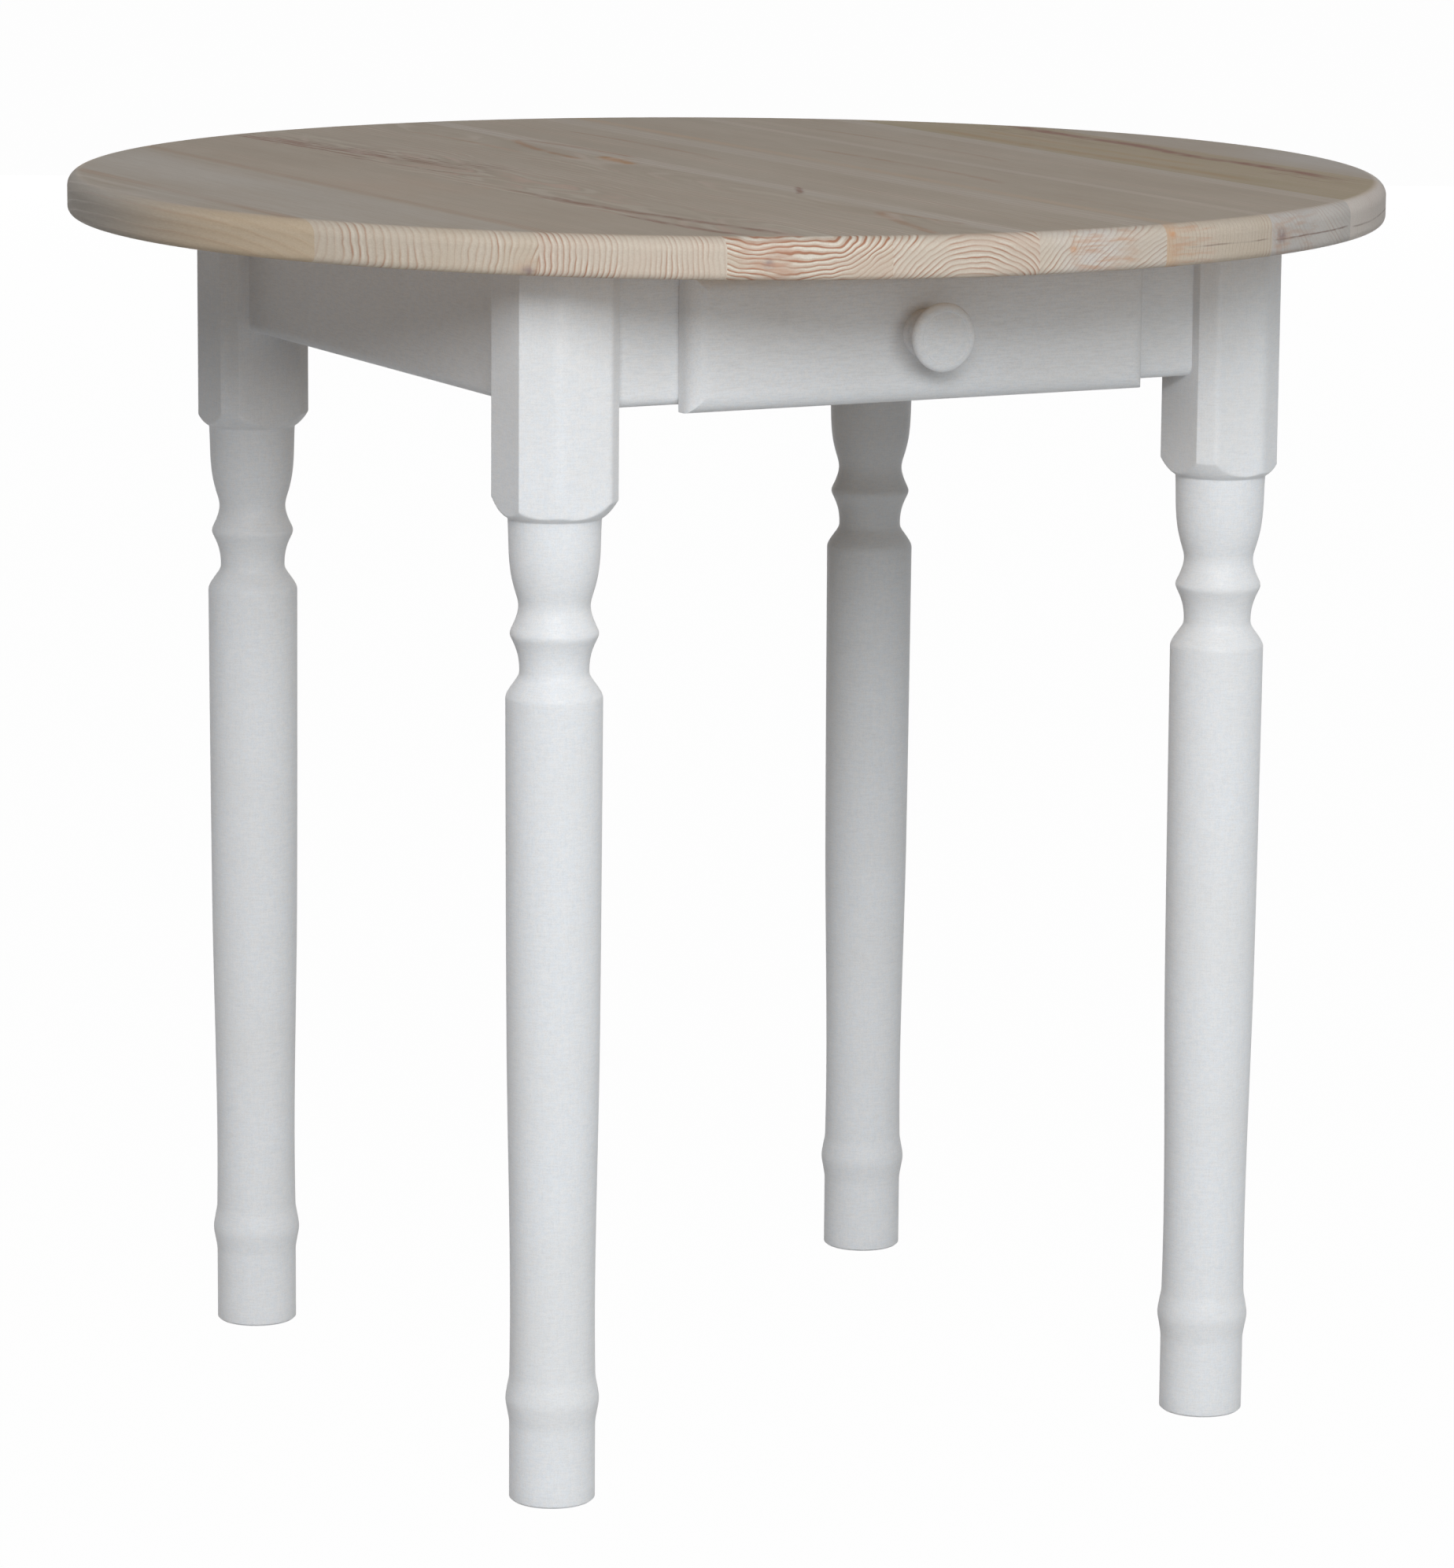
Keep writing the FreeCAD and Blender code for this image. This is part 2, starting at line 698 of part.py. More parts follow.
def dovetails(y_root, y_tip, x0, x1, z0, z1):
    """Tails that widen from their root towards their tip, evenly spaced up the board."""
    pitch = (z1 - z0) / tails
    solids = []
    for number in range(tails):
        middle = z0 + (number + 0.5) * pitch
        narrow = pitch / 4
        wide = narrow + tail_slope
        points = [Vector(x0, y_root, middle - narrow), Vector(x0, y_tip, middle - wide),
                  Vector(x0, y_tip, middle + wide), Vector(x0, y_root, middle + narrow)]
        solids.append(Part.Face(Part.makePolygon(points + points[:1])).extrude(Vector(x1 - x0, 0, 0)))
    return solids


def side_tails(mirror):
    """All the tails of one drawer side, front and back."""
    x0, x1 = (-box_half, -box_half + box_board)
    front_inside = front_back_y + box_board
    solids = dovetails(front_inside, front_back_y, x0, x1, box_z, box_top_z)
    solids += dovetails(box_end_y - box_board, box_end_y, x0, x1, back_z, box_top_z)
    if mirror:
        solids = [solid.mirror(Vector(0, 0, 0), Vector(1, 0, 0)) for solid in solids]
    return solids


def bottom_panel():
    """Plywood that slides into the grooves of the sides and the box front."""
    reach = box_half - box_board + bottom_groove
    return box(-reach, reach, front_back_y + box_board - bottom_groove, box_end_y, bottom_z, back_z)


def drawer_side(mirror):
    front_inside = front_back_y + box_board
    side = box(-box_half, -box_half + box_board, front_inside, box_end_y - box_board, box_z, box_top_z)
    toe = box(-box_half, -box_half + box_board, box_end_y - box_board, box_end_y, box_z, back_z)
    if mirror:
        side = side.mirror(Vector(0, 0, 0), Vector(1, 0, 0))
        toe = toe.mirror(Vector(0, 0, 0), Vector(1, 0, 0))
    side = side.fuse([toe] + side_tails(mirror)).removeSplitter()
    return side.cut(bottom_panel())


def overlay_front():
    """The painted front: its four outer edges are rounded and meet in mitres."""
    board = box(-front_width / 2, front_width / 2, front_face_y, front_back_y, front_z, front_top_z)
    edges = [edge for edge in board.Edges
             if all(abs(vertex.Y - front_face_y) < SAME_PLACE for vertex in edge.Vertexes)]
    return board.makeFillet(front_edge_round, edges)


def knob():
    """Turned about Z with its base at 0: a flange, a neck and a broad head with a grooved face."""
    head = knob_diameter / 2
    neck = knob_neck_diameter / 2
    base = knob_base_diameter / 2
    lip = base - knob_base_height / 2
    under = head - knob_under_round
    rim_z = knob_head_height + knob_under_round
    face = head - knob_face_round
    face_z = knob_stand - knob_face_crown
    groove = Vector(face - knob_groove, 0, face_z - knob_groove)
    neck_top_z = knob_neck_height + knob_neck_length
    edges = [
        line(Vector(0, 0, 0), Vector(base, 0, 0)),
        rounded(Vector(base, 0, 0), Vector(base, 0, knob_base_height), Vector(lip, 0, knob_base_height)),
        rounded(Vector(lip, 0, knob_base_height), Vector(neck, 0, knob_base_height),
                Vector(neck, 0, knob_neck_height)),
        line(Vector(neck, 0, knob_neck_height), Vector(neck, 0, neck_top_z)),
        rounded(Vector(neck, 0, neck_top_z), Vector(neck, 0, knob_head_height),
                Vector(under, 0, knob_head_height)),
        rounded(Vector(under, 0, knob_head_height), Vector(head, 0, knob_head_height),
                Vector(head, 0, rim_z)),
        rounded(Vector(head, 0, rim_z), Vector(head, 0, face_z), Vector(face, 0, face_z)),
        line(Vector(face, 0, face_z), groove),
        rounded(groove, Vector(face / 2, 0, knob_stand), Vector(0, 0, knob_stand)),
    ]
    return turned(edges)


def save_drawer():
    tail_cuts = side_tails(False) + side_tails(True)
    panel = bottom_panel()
    inside_y = front_back_y + box_board
    knob_middle = Vector(0, inside_y, knob_z)
    forward = Vector(0, -1, 0)
    knob_bolt_hole = bore(knob_screw_radius + hole_gap, box_board + front_thickness + knob_screw_depth
                          + hole_gap, knob_middle, forward)

    front = drilled(overlay_front(), front_screw_length, front_screw_places()).cut(knob_bolt_hole)
    save("drawer_front", front)
    inner = box(-box_half, box_half, front_back_y, inside_y, box_z, box_top_z)
    inner = inner.cut(tail_cuts + [panel, knob_bolt_hole])
    save("drawer_box_front", drilled(inner, front_screw_length, front_screw_places()))
    save("drawer_front_screws", screws(front_screw_length, front_screw_places()))

    save("drawer_side_left", drawer_side(False))
    save("drawer_side_right", drawer_side(True))
    back = box(-box_half, box_half, box_end_y - box_board, box_end_y, back_z, box_top_z).cut(tail_cuts)
    pins = [bottom_pin(x) for x in (-bottom_pin_spread, 0, bottom_pin_spread)]
    pin_holes = [bore(pin_radius + hole_gap, pin_length + hole_gap,
                      Vector(x, box_end_y - box_board / 2, bottom_z), UP)
                 for x in (-bottom_pin_spread, 0, bottom_pin_spread)]
    back = drilled(back, catch_screw_length, [catch_screw_place()]).cut(pin_holes)
    save("drawer_back", back)
    save("drawer_bottom", panel.cut(pin_holes))
    save("drawer_pins", Part.makeCompound(pins))

    catch = box(-catch_width / 2, catch_width / 2, catch_y, catch_y + catch_thickness,
                box_top_z - catch_below, box_top_z + catch_rise)
    pivot, backwards = catch_screw_place()
    catch = catch.cut(bore(screw_shank_radius + catch_pivot_gap, catch_thickness, pivot, backwards))
    save("drawer_catch", catch)
    save("catch_screw", screws(catch_screw_length, [catch_screw_place()]))

    turned_knob = placed(knob(), Vector(0, front_face_y, knob_z), forward)
    save("knob", turned_knob.cut(knob_bolt_hole))
    washer = Part.makeCylinder(knob_washer_radius, knob_washer_thickness).cut(
        Part.makeCylinder(knob_screw_radius + washer_play, knob_washer_thickness))
    save("knob_washer", placed(washer, knob_middle, forward * -1))
    save("knob_screw", knob_screw(knob_middle, forward))


def bottom_pin(x):
    """A thin nail up through the drawer bottom into the back."""
    shape = turned_steps([(0, -pin_head_height), (pin_head_radius, -pin_head_height), (pin_head_radius, 0),
                          (pin_radius, 0), (pin_radius, pin_length - pin_point), (0, pin_length)])
    return placed(shape, Vector(x, box_end_y - box_board / 2, bottom_z), UP)


def knob_screw(point, direction):
    """A machine screw with a round head on the washer, which ends inside the knob."""
    head = knob_screw_head_radius
    length = knob_washer_thickness + box_board + front_thickness + knob_screw_depth
    crown = -knob_screw_head_height
    edges = [rounded(Vector(0, 0, crown), Vector(head, 0, crown), Vector(head, 0, 0)),
             line(Vector(head, 0, 0), Vector(knob_screw_radius, 0, 0)),
             line(Vector(knob_screw_radius, 0, 0), Vector(knob_screw_radius, 0, length)),
             line(Vector(knob_screw_radius, 0, length), Vector(0, 0, length))]
    return placed(turned(edges), point - direction * knob_washer_thickness, direction)


os.makedirs("parts", exist_ok=True)
save_top()
save_legs()
save_frame()
save_braces()
save_brackets()
save_strips()
save_drawer()
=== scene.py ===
import bpy
import bmesh
import math
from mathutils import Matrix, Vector


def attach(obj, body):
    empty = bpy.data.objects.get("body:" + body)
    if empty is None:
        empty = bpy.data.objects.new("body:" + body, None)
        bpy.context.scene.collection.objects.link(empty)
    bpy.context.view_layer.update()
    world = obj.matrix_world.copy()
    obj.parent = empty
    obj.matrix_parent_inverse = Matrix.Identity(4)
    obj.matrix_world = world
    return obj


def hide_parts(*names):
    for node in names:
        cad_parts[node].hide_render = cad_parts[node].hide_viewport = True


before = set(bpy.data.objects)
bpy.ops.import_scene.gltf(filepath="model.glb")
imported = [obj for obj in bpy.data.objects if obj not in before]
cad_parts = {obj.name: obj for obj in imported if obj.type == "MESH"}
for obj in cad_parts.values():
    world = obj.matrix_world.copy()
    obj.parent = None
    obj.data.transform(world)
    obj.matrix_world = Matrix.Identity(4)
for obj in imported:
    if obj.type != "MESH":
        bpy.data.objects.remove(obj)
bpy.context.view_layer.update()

# ---- the round top: ten pine staves ----
# Solid softwood staves that run front to back, glued edge to edge, cut round and moulded.
# Each board has its own pith line, so rings on the end grain and figure on the face
# are one body of rings, cut through. The wood is sanded under a clear matt varnish.

MM = 1000.0  # millimetres in a metre


class Shade:
    """A socket in a material: sums on it add Math nodes, anything else comes from node()."""

    def __init__(self, tree, socket=None):
        self.tree = tree
        self.socket = socket

    def node(self, kind, settings=None, inputs=None, out=0):
        """Add a node: its settings come first, then the values and links of its inputs."""
        node = self.tree.nodes.new(kind)
        for name, value in (settings or {}).items():
            if name == "bends":
                points = node.mapping.curves[0].points
                while len(points) < len(value):
                    points.new(0.5, 0.5)
                for point, place in zip(points, value):
                    point.location = place
                node.mapping.update()
            else:
                setattr(node, name, value)
        for name, value in (inputs or {}).items():
            if isinstance(value, Shade):
                self.tree.links.new(value.socket, node.inputs[name])
            else:
                node.inputs[name].default_value = value
        return Shade(self.tree, node.outputs[out])

    def also(self, out):
        """Another output of the same node."""
        return Shade(self.tree, self.socket.node.outputs[out])

    def millimetres(self):
        """Where a point lies on its object, in mm."""
        place = self.node("ShaderNodeTexCoord", out="Object")
        return self.node("ShaderNodeVectorMath", {"operation": "SCALE"}, {0: place, "Scale": MM})

    def parts(self):
        """The X, Y and Z of a vector."""
        x = self.node("ShaderNodeSeparateXYZ", inputs={0: self})
        return x, x.also("Y"), x.also("Z")

    def math(self, operation, *values):
        return self.node("ShaderNodeMath", {"operation": operation}, dict(enumerate(values)))

    def __add__(self, other):
        return self.math("ADD", self, other)

    __radd__ = __add__

    def __sub__(self, other):
        return self.math("SUBTRACT", self, other)

    def __rsub__(self, other):
        return self.math("SUBTRACT", other, self)

    def __mul__(self, other):
        return self.math("MULTIPLY", self, other)

    def __truediv__(self, other):
        return self.math("DIVIDE", self, other)

    def __abs__(self):
        return self.math("ABSOLUTE", self)

    def root(self):
        return self.math("SQRT", self)

    def part(self):
        """What is left after the whole number."""
        return self.math("FRACT", self)

    def least(self, other):
        return self.math("MINIMUM", self, other)

    def most(self, other):
        return self.math("MAXIMUM", self, other)

    def step(self, low, high):
        """0 below low, 1 above high and smooth between; high may be the lower of the two."""
        first, last = (0.0, 1.0) if low < high else (1.0, 0.0)
        return self.node("ShaderNodeMapRange", {"interpolation_type": "SMOOTHSTEP"},
                         {"Value": self, "From Min": min(low, high), "From Max": max(low, high),
                          "To Min": first, "To Max": last})

    def vector(self, x, y, z):
        return self.node("ShaderNodeCombineXYZ", inputs={"X": x, "Y": y, "Z": z})

    def noise(self, place, scale=1.0, detail=2.0, rough=0.5):
        """Smooth noise about 0.5."""
        return self.node("ShaderNodeTexNoise", {"noise_dimensions": "3D"},
                         {"Vector": place, "Scale": scale, "Detail": detail, "Roughness": rough})

    def blend(self, first, second, kind="MIX"):
        """Two colours mixed by this value, from 0 for the first to 1 for the second."""
        node = self.tree.nodes.new("ShaderNodeMix")
        node.data_type = "RGBA"
        node.blend_type = kind
        for name, value in (("Factor_Float", self), ("A_Color", first), ("B_Color", second)):
            socket = next(s for s in node.inputs if s.identifier == name)
            if isinstance(value, Shade):
                self.tree.links.new(value.socket, socket)
            else:
                socket.default_value = value
        return Shade(self.tree, next(s for s in node.outputs if s.identifier == "Result_Color"))

    def relief(self, height, depth):
        """A bump of this height, in metres of depth, for a Normal input."""
        return self.node("ShaderNodeBump", None, {"Strength": 1.0, "Distance": depth, "Height": height})


def tone(red, green, blue):
    """A colour given as it looks on a screen, in 255ths."""
    shares = [value / 255 for value in (red, green, blue)]
    return [v / 12.92 if v <= 0.04045 else ((v + 0.055) / 1.055) ** 2.4 for v in shares] + [1.0]


def finish(name, settings):
    """A new material with plain values on its own surface node, and a Shade to build on."""
    material = bpy.data.materials.new(name)
    material.use_nodes = True
    surface = material.node_tree.nodes["Principled BSDF"]
    for key, value in settings.items():
        surface.inputs[key].default_value = value
    return material, Shade(material.node_tree), surface


def put(material, surface, **shades):
    """Link worked-out shades to the sockets of the surface node."""
    for key, shade in shades.items():
        material.node_tree.links.new(shade.socket, surface.inputs[key.replace("_", " ")])
    return material


def wear(node, *materials):
    """Give a CAD node's material slots these finishes."""
    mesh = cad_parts[node].data
    mesh.materials.clear()
    for material in materials:
        mesh.materials.append(material)


PITH_SWAY = 240.0
RIM_FROM, RIM_FULL = 391.0, 396.5
ALONG_GRAIN = 4.0  # a tint fades this much more slowly along the grain than across it
UNDERSIDE = 726.0
LIGHT_WOOD = tone(224, 216, 203)
LATE_WOOD = tone(170, 122, 98)
# painted shade: the top face is greyed and darkened against the rim
TOP_FACE_SHADE = tone(212, 215, 216)
BARE_FACE = tone(236, 200, 158)
RAY_TONE = tone(198, 176, 154)
FIBRE_TONE = tone(150, 124, 102)
RIPPLE_TONE = tone(128, 98, 82)
HALO_TONE = tone(198, 166, 142)
# painted shade: the colour of a fine dark line along the rim's arris
ARRIS_SHADE_TONE = tone(122, 96, 84)


def stave_wood(name, seed, pith, spacing, rim_tones, face_tones, figure, warp=6.0, sway=(6.0, 8.0),
               knots=(), streaks=(), tints=(), ripples=(), fade=None, smears=(), score=None):
    """Pine cut from a log whose pith runs along Y at pith = (x, z), with rings this far apart.

    figure is how strongly the rings show on the rim and on the face. A knot is
    (x, y, z, radius, colour, reach), a streak is (bends, width, strength, colour), a tint is
    (x0, x1, y0, y1, soft, strength, colour), ripples are (x0, x1, y0, y1, lean, pitch,
    strength) and fade is (axis, from, to, colour) along the rim. Smears on the rim are
    (x0, x1, strength, colour), and the last argument, (z, x0, x1, strength), gives a fine dark
    line of painted shade along the rim's arris, where its upper round meets the lower band.
    Places and sizes are in mm.
    """
    material, shade, surface = finish(name, {"Specular IOR Level": 0.15})
    x, y, z = shade.millimetres().parts()
    along = y / PITH_SWAY + seed
    push = shade.noise(shade.vector(along, seed * 3.1, 0.0), detail=1.0) - 0.5
    lift = shade.noise(shade.vector(along, seed * 5.7, 9.0), detail=1.0) - 0.5
    wobble = shade.noise(shade.vector(x / 34.0, y / 210.0 + seed, z / 30.0), detail=2.5) - 0.5
    tremble = shade.noise(shade.vector(x / 7.0, y / 60.0 + seed, z / 7.0), detail=1.0) - 0.5
    dx = x - pith[0] - push * sway[0]
    dz = z - pith[1] - lift * sway[1]
    radius = (dx * dx + dz * dz).root() + wobble * warp + tremble * 1.1
    knot_shades = []
    for kx, ky, kz, size, colour, reach in knots:
        off = ((x - kx) * (x - kx) + (y - ky) * (y - ky) * 0.35 + (z - kz) * (z - kz)).root()
        near = off.step(reach, size * 0.4)
        radius = radius + near * near * size * 0.9
        knot_shades.append((off + tremble * 3.0, size, colour))
    ring = radius / spacing
    each = shade.noise(shade.vector(ring * 0.83, seed, 0.0), detail=0.0)
    phase = ring.part()
    late = phase.step(0.60, 0.84) * phase.step(1.0, 0.90)
    white = phase.step(0.00, 0.14) * phase.step(0.50, 0.26)
    rho = (x * x + y * y).root()
    rim = rho.step(RIM_FROM, RIM_FULL)
    faded = shade.noise(shade.vector(x / 17.0, y / 140.0, z / 15.0 + seed), detail=1.5).step(0.34, 0.62)
    bold = shade.noise(shade.vector(ring * 0.17, seed * 2.0, 4.0), detail=1.0).step(0.38, 0.64)
    on_rim, on_face = figure
    strength = (rim * (on_rim - on_face) + on_face) * (each * 1.3 + 0.2)
    strength = strength * (faded * 0.6 + 0.4) * (bold * 0.7 + 0.3)
    patch = shade.noise(shade.vector(x / 45.0, y / 160.0 + seed, z / 45.0), detail=2.0).step(0.30, 0.72)
    fibre = shade.noise(shade.vector(x / 0.55, y / 26.0, z / 0.55), detail=1.5)
    fleck = shade.noise(shade.vector(x / 1.4, y / 5.0, z / 1.4), detail=1.0)
    ray = shade.noise(shade.vector(x / 5.0, y / 110.0 + seed, z / 9.0), detail=2.0)
    face = patch.blend(*face_tones)
    face = (ray.step(0.45, 0.75) * 0.35).blend(face, RAY_TONE)
    # Painted shade: the top face is greyed and darkened against the rim, as though less light fell on it than
    # on the rim.
    face = (1.0 - rim).blend(face, TOP_FACE_SHADE, "MULTIPLY")
    below = z.step(UNDERSIDE + 1.2, UNDERSIDE + 0.2)
    face = below.blend(face, BARE_FACE)
    edge = patch.blend(*rim_tones)
    if fade:
        axis, fade_from, fade_to, stain = fade
        edge = {"x": x, "y": y}[axis].step(fade_from, fade_to).blend(edge, stain)
    colour = rim.blend(face, edge)
    for x0, x1, y0, y1, soft, amount, stain in tints:
        long = soft * ALONG_GRAIN
        area = x.step(x0, x0 + soft) * x.step(x1, x1 - soft) * y.step(y0, y0 + long) * y.step(y1, y1 - long)
        colour = (area * (patch * 0.5 + 0.5) * (1.0 - rim) * amount).blend(colour, stain)
    colour = (late * strength).least(1.0).blend(colour, LATE_WOOD)
    colour = (white * strength * 0.9).least(1.0).blend(colour, LIGHT_WOOD)
    colour = ((fibre - 0.5) * 0.35 + (fleck - 0.5) * 0.16 + 0.08).most(0.0).blend(colour, FIBRE_TONE)
    flat = (1.0 - rho.step(386.0, 398.0)) * z.step(UNDERSIDE + 4.0, UNDERSIDE + 16.0)
    for x0, x1, y0, y1, lean, pitch, amount in ripples:
        drift = (y1 - y) * lean
        near = (x - x0 - drift) / (x1 - x0)
        area = near.step(-0.6, -0.1) * near.step(1.0, 0.3) * x.step(x0 - 1.0, x0 + 1.0)
        area = area * y.step(y0, y0 + 60.0) * y.step(y1, y1 - 25.0)
        wave = ((x - drift * 1.15 + wobble * 7.0 + tremble * 2.0) / pitch).part()
        gaps = shade.noise(shade.vector(x / 5.0, y / 42.0 + seed, 3.0), detail=1.0).step(0.36, 0.56)
        line = wave.step(0.20, 0.48) * wave.step(0.86, 0.60) * gaps
        colour = (area * line * amount * flat).blend(colour, RIPPLE_TONE)
    for bends, width, amount, stain in streaks:
        start, end = bends[0][1], bends[-1][1]
        left, right = min(b[0] for b in bends) - 1.0, max(b[0] for b in bends) + 1.0
        share = (y - start) / (end - start)
        places = [((by - start) / (end - start), (bx - left) / (right - left)) for bx, by in bends]
        level = shade.node("ShaderNodeFloatCurve", {"bends": places}, {"Value": share})
        gap = abs(x + wobble * 5.0 + (fleck - 0.5) * 2.5 - (level * (right - left) + left))
        line = gap.step(width, width * 0.1) * share.step(-0.02, 0.10) * share.step(1.02, 0.88)
        broken = shade.noise(shade.vector(x / 9.0, y / 24.0, seed), detail=2.0).step(0.25, 0.6) * 0.65 + 0.35
        colour = (line * broken * amount * flat).blend(colour, stain)
    for off, size, stain in knot_shades:
        cloud = shade.noise(shade.vector(x / 3.4, y / 9.0, z / 3.4), detail=2.0).step(0.28, 0.62)
        colour = (off.step(size * 3.4, size * 0.9) * cloud * 0.5).blend(colour, HALO_TONE)
        colour = (off.step(size * 1.9, size * 0.1) * (cloud * 0.6 + 0.25) * 0.8).blend(colour, stain)
    for x0, x1, amount, stain in smears:
        area = x.step(x0, x0 + 6.0) * x.step(x1, x1 - 12.0) * rim
        cloud = shade.noise(shade.vector(x / 16.0, y / 40.0, z / 2.2 + seed), detail=2.5).step(0.40, 0.70)
        colour = (area * cloud * amount).blend(colour, stain)
    # Painted shade: a fine dark line along the rim's arris, where its upper round meets the lower band.
    if score:
        level, x0, x1, amount = score
        area = x.step(x0, x0 + 10.0) * x.step(x1, x1 - 10.0) * rim
        arris_shade_mask = abs(z - level - wobble * 3.0).step(0.75, 0.15)
        broken = shade.noise(shade.vector(x / 12.0, seed, z / 4.0), detail=1.5).step(0.30, 0.55) * 0.7 + 0.3
        colour = (area * arris_shade_mask * broken * amount).blend(colour, ARRIS_SHADE_TONE)
    pores = fibre * 0.5 + late * (rim * 0.5 + 0.2)
    put(material, surface, Base_Color=colour, Roughness=0.62 - late * 0.10 + (fibre - 0.5) * 0.12,
        Normal=shade.relief(pores, 0.00010))
    return material


CREAM = tone(208, 196, 181)
SAND = tone(204, 190, 172)
GREY_PINE = tone(210, 205, 200)
ROSY = tone(206, 186, 170)
HONEY = tone(206, 185, 158)
TAN = tone(202, 184, 160)
ASH = tone(198, 194, 190)
PALE_ASH = tone(226, 216, 209)
FACE_WARM = (tone(210, 193, 174), tone(200, 182, 162))
FACE_COOL = (tone(215, 202, 188), tone(207, 190, 172))
FACE_OLIVE = (tone(198, 178, 146), tone(188, 168, 134))
DARK_KNOT = tone(122, 112, 122)
RED_KNOT = tone(112, 62, 46)
RESIN = tone(208, 150, 106)
BROWN = tone(118, 80, 62)
AMBER = tone(150, 112, 82)
PALE_STRIP = tone(214, 210, 204)

ALL_ALONG = (-420.0, 420.0)


def lay_stave(number, *wood, **marks):
    """One stave of the top, counted from the left; the rest is what stave_wood takes."""
    wear("top_stave_%02d" % number, stave_wood("pine_stave_%02d" % number, *wood, **marks))


# The first edge stave, honey at its joint and greying towards the left end.
lay_stave(1, 1.7, (-420.0, 640.0), 5.5, (HONEY, TAN), FACE_COOL, figure=(0.2, 0.12),
          fade=("y", -150.0, 50.0, tone(184, 177, 168)),
          tints=[(-366.0, -352.0, *ALL_ALONG, 6.0, 0.45, AMBER)])
lay_stave(2, 2.3, (-600.0, 760.0), 2.9, (CREAM, SAND), FACE_COOL,
          figure=(0.75, 0.16), warp=9.0,
          knots=[(-273.0, -296.0, 729.0, 3.2, DARK_KNOT, 24.0)],
          tints=[(-345.0, -268.0, -45.0, 305.0, 30.0, 0.35, tone(222, 218, 212))])
lay_stave(3, 3.1, (-420.0, 742.0), 2.6, (ROSY, CREAM), FACE_WARM,
          figure=(0.9, 0.28), warp=5.0,
          knots=[(-177.0, -42.0, 752.0, 4.0, RED_KNOT, 14.0)],
          streaks=[([(-180.0, -10.0), (-177.0, -42.0), (-174.0, -78.0)], 5.0, 1.0, RED_KNOT)],
          tints=[(-268.0, -180.0, -108.0, 83.0, 25.0, 0.35, tone(182, 154, 132)),
                 (-268.0, -254.0, *ALL_ALONG, 6.0, 0.40, AMBER)])
lay_stave(4, 4.6, (-150.0, 812.0), 3.0, (ROSY, SAND), FACE_WARM,
          figure=(2.2, 0.40), warp=19.0, sway=(14.0, 20.0),
          smears=[(-181.0, -140.0, 0.5, tone(182, 136, 112))],
          knots=[(-160.0, -364.0, 735.0, 2.8, DARK_KNOT, 20.0)],
          streaks=[([(-176.0, -95.0), (-170.0, -180.0), (-158.0, -260.0), (-141.0, -365.0)],
                    7.0, 0.85, BROWN),
                   ([(-180.0, -215.0), (-177.0, -290.0), (-166.0, -355.0)], 6.5, 0.80, BROWN),
                   ([(-176.0, -60.0), (-172.0, -100.0), (-170.0, -140.0)], 4.0, 0.6, BROWN),
                   ([(-179.0, 352.0), (-172.0, 250.0), (-166.0, 150.0)], 3.0, 0.85, BROWN),
                   ([(-174.0, 350.0), (-164.0, 240.0), (-152.0, 140.0)], 3.0, 0.80, BROWN),
                   ([(-168.0, 330.0), (-156.0, 210.0), (-143.0, 95.0)], 2.6, 0.75, BROWN),
                   ([(-164.0, 250.0), (-152.0, 130.0), (-140.0, 30.0)], 2.6, 0.65, BROWN),
                   ([(-176.0, 190.0), (-166.0, 90.0), (-154.0, 10.0)], 2.6, 0.60, BROWN)],
          ripples=[(-180.0, -150.0, 30.0, 345.0, 0.17, 6.5, 0.95)])
lay_stave(5, 5.2, (-46.0, 696.0), 2.9, (CREAM, ROSY), FACE_WARM,
          figure=(1.35, 0.42), warp=7.0, sway=(16.0, 16.0),
          knots=[(-30.0, 92.0, 753.0, 4.5, tone(160, 108, 54), 14.0)],
          streaks=[([(-34.0, 60.0), (-31.0, 92.0), (-28.0, 120.0)], 7.0, 0.85, tone(158, 112, 60)),
                   ([(-48.0, 100.0), (-42.0, 180.0), (-25.0, 250.0)], 5.0, 0.80, AMBER),
                   ([(-12.0, 100.0), (-14.0, 180.0), (-24.0, 250.0)], 5.0, 0.60, AMBER),
                   ([(-8.0, -108.0), (-18.0, -130.0), (-28.0, -150.0)], 4.0, 0.90, BROWN),
                   ([(-66.0, -388.0), (-50.0, -310.0), (-33.0, -255.0)], 6.0, 0.60, AMBER),
                   ([(-24.0, -345.0), (-29.0, -300.0), (-33.0, -255.0)], 4.0, 0.55, AMBER),
                   ([(-66.0, 330.0), (-60.0, 250.0), (-64.0, 150.0)], 4.0, 0.50, AMBER)],
          tints=[(-30.0, -8.0, *ALL_ALONG, 6.0, 0.35, PALE_STRIP)])
lay_stave(6, 6.4, (125.0, 620.0), 2.7, (CREAM, GREY_PINE), FACE_WARM,
          figure=(0.75, 0.32), warp=6.0,
          smears=[(10.0, 62.0, 0.60, tone(192, 150, 122))],
          knots=[(13.0, -400.0, 740.0, 1.5, RESIN, 9.0)],
          streaks=[([(30.0, 300.0), (36.0, 180.0), (28.0, 60.0)], 4.0, 0.45, AMBER)],
          tints=[(54.0, 80.0, *ALL_ALONG, 5.0, 0.26, PALE_STRIP)])
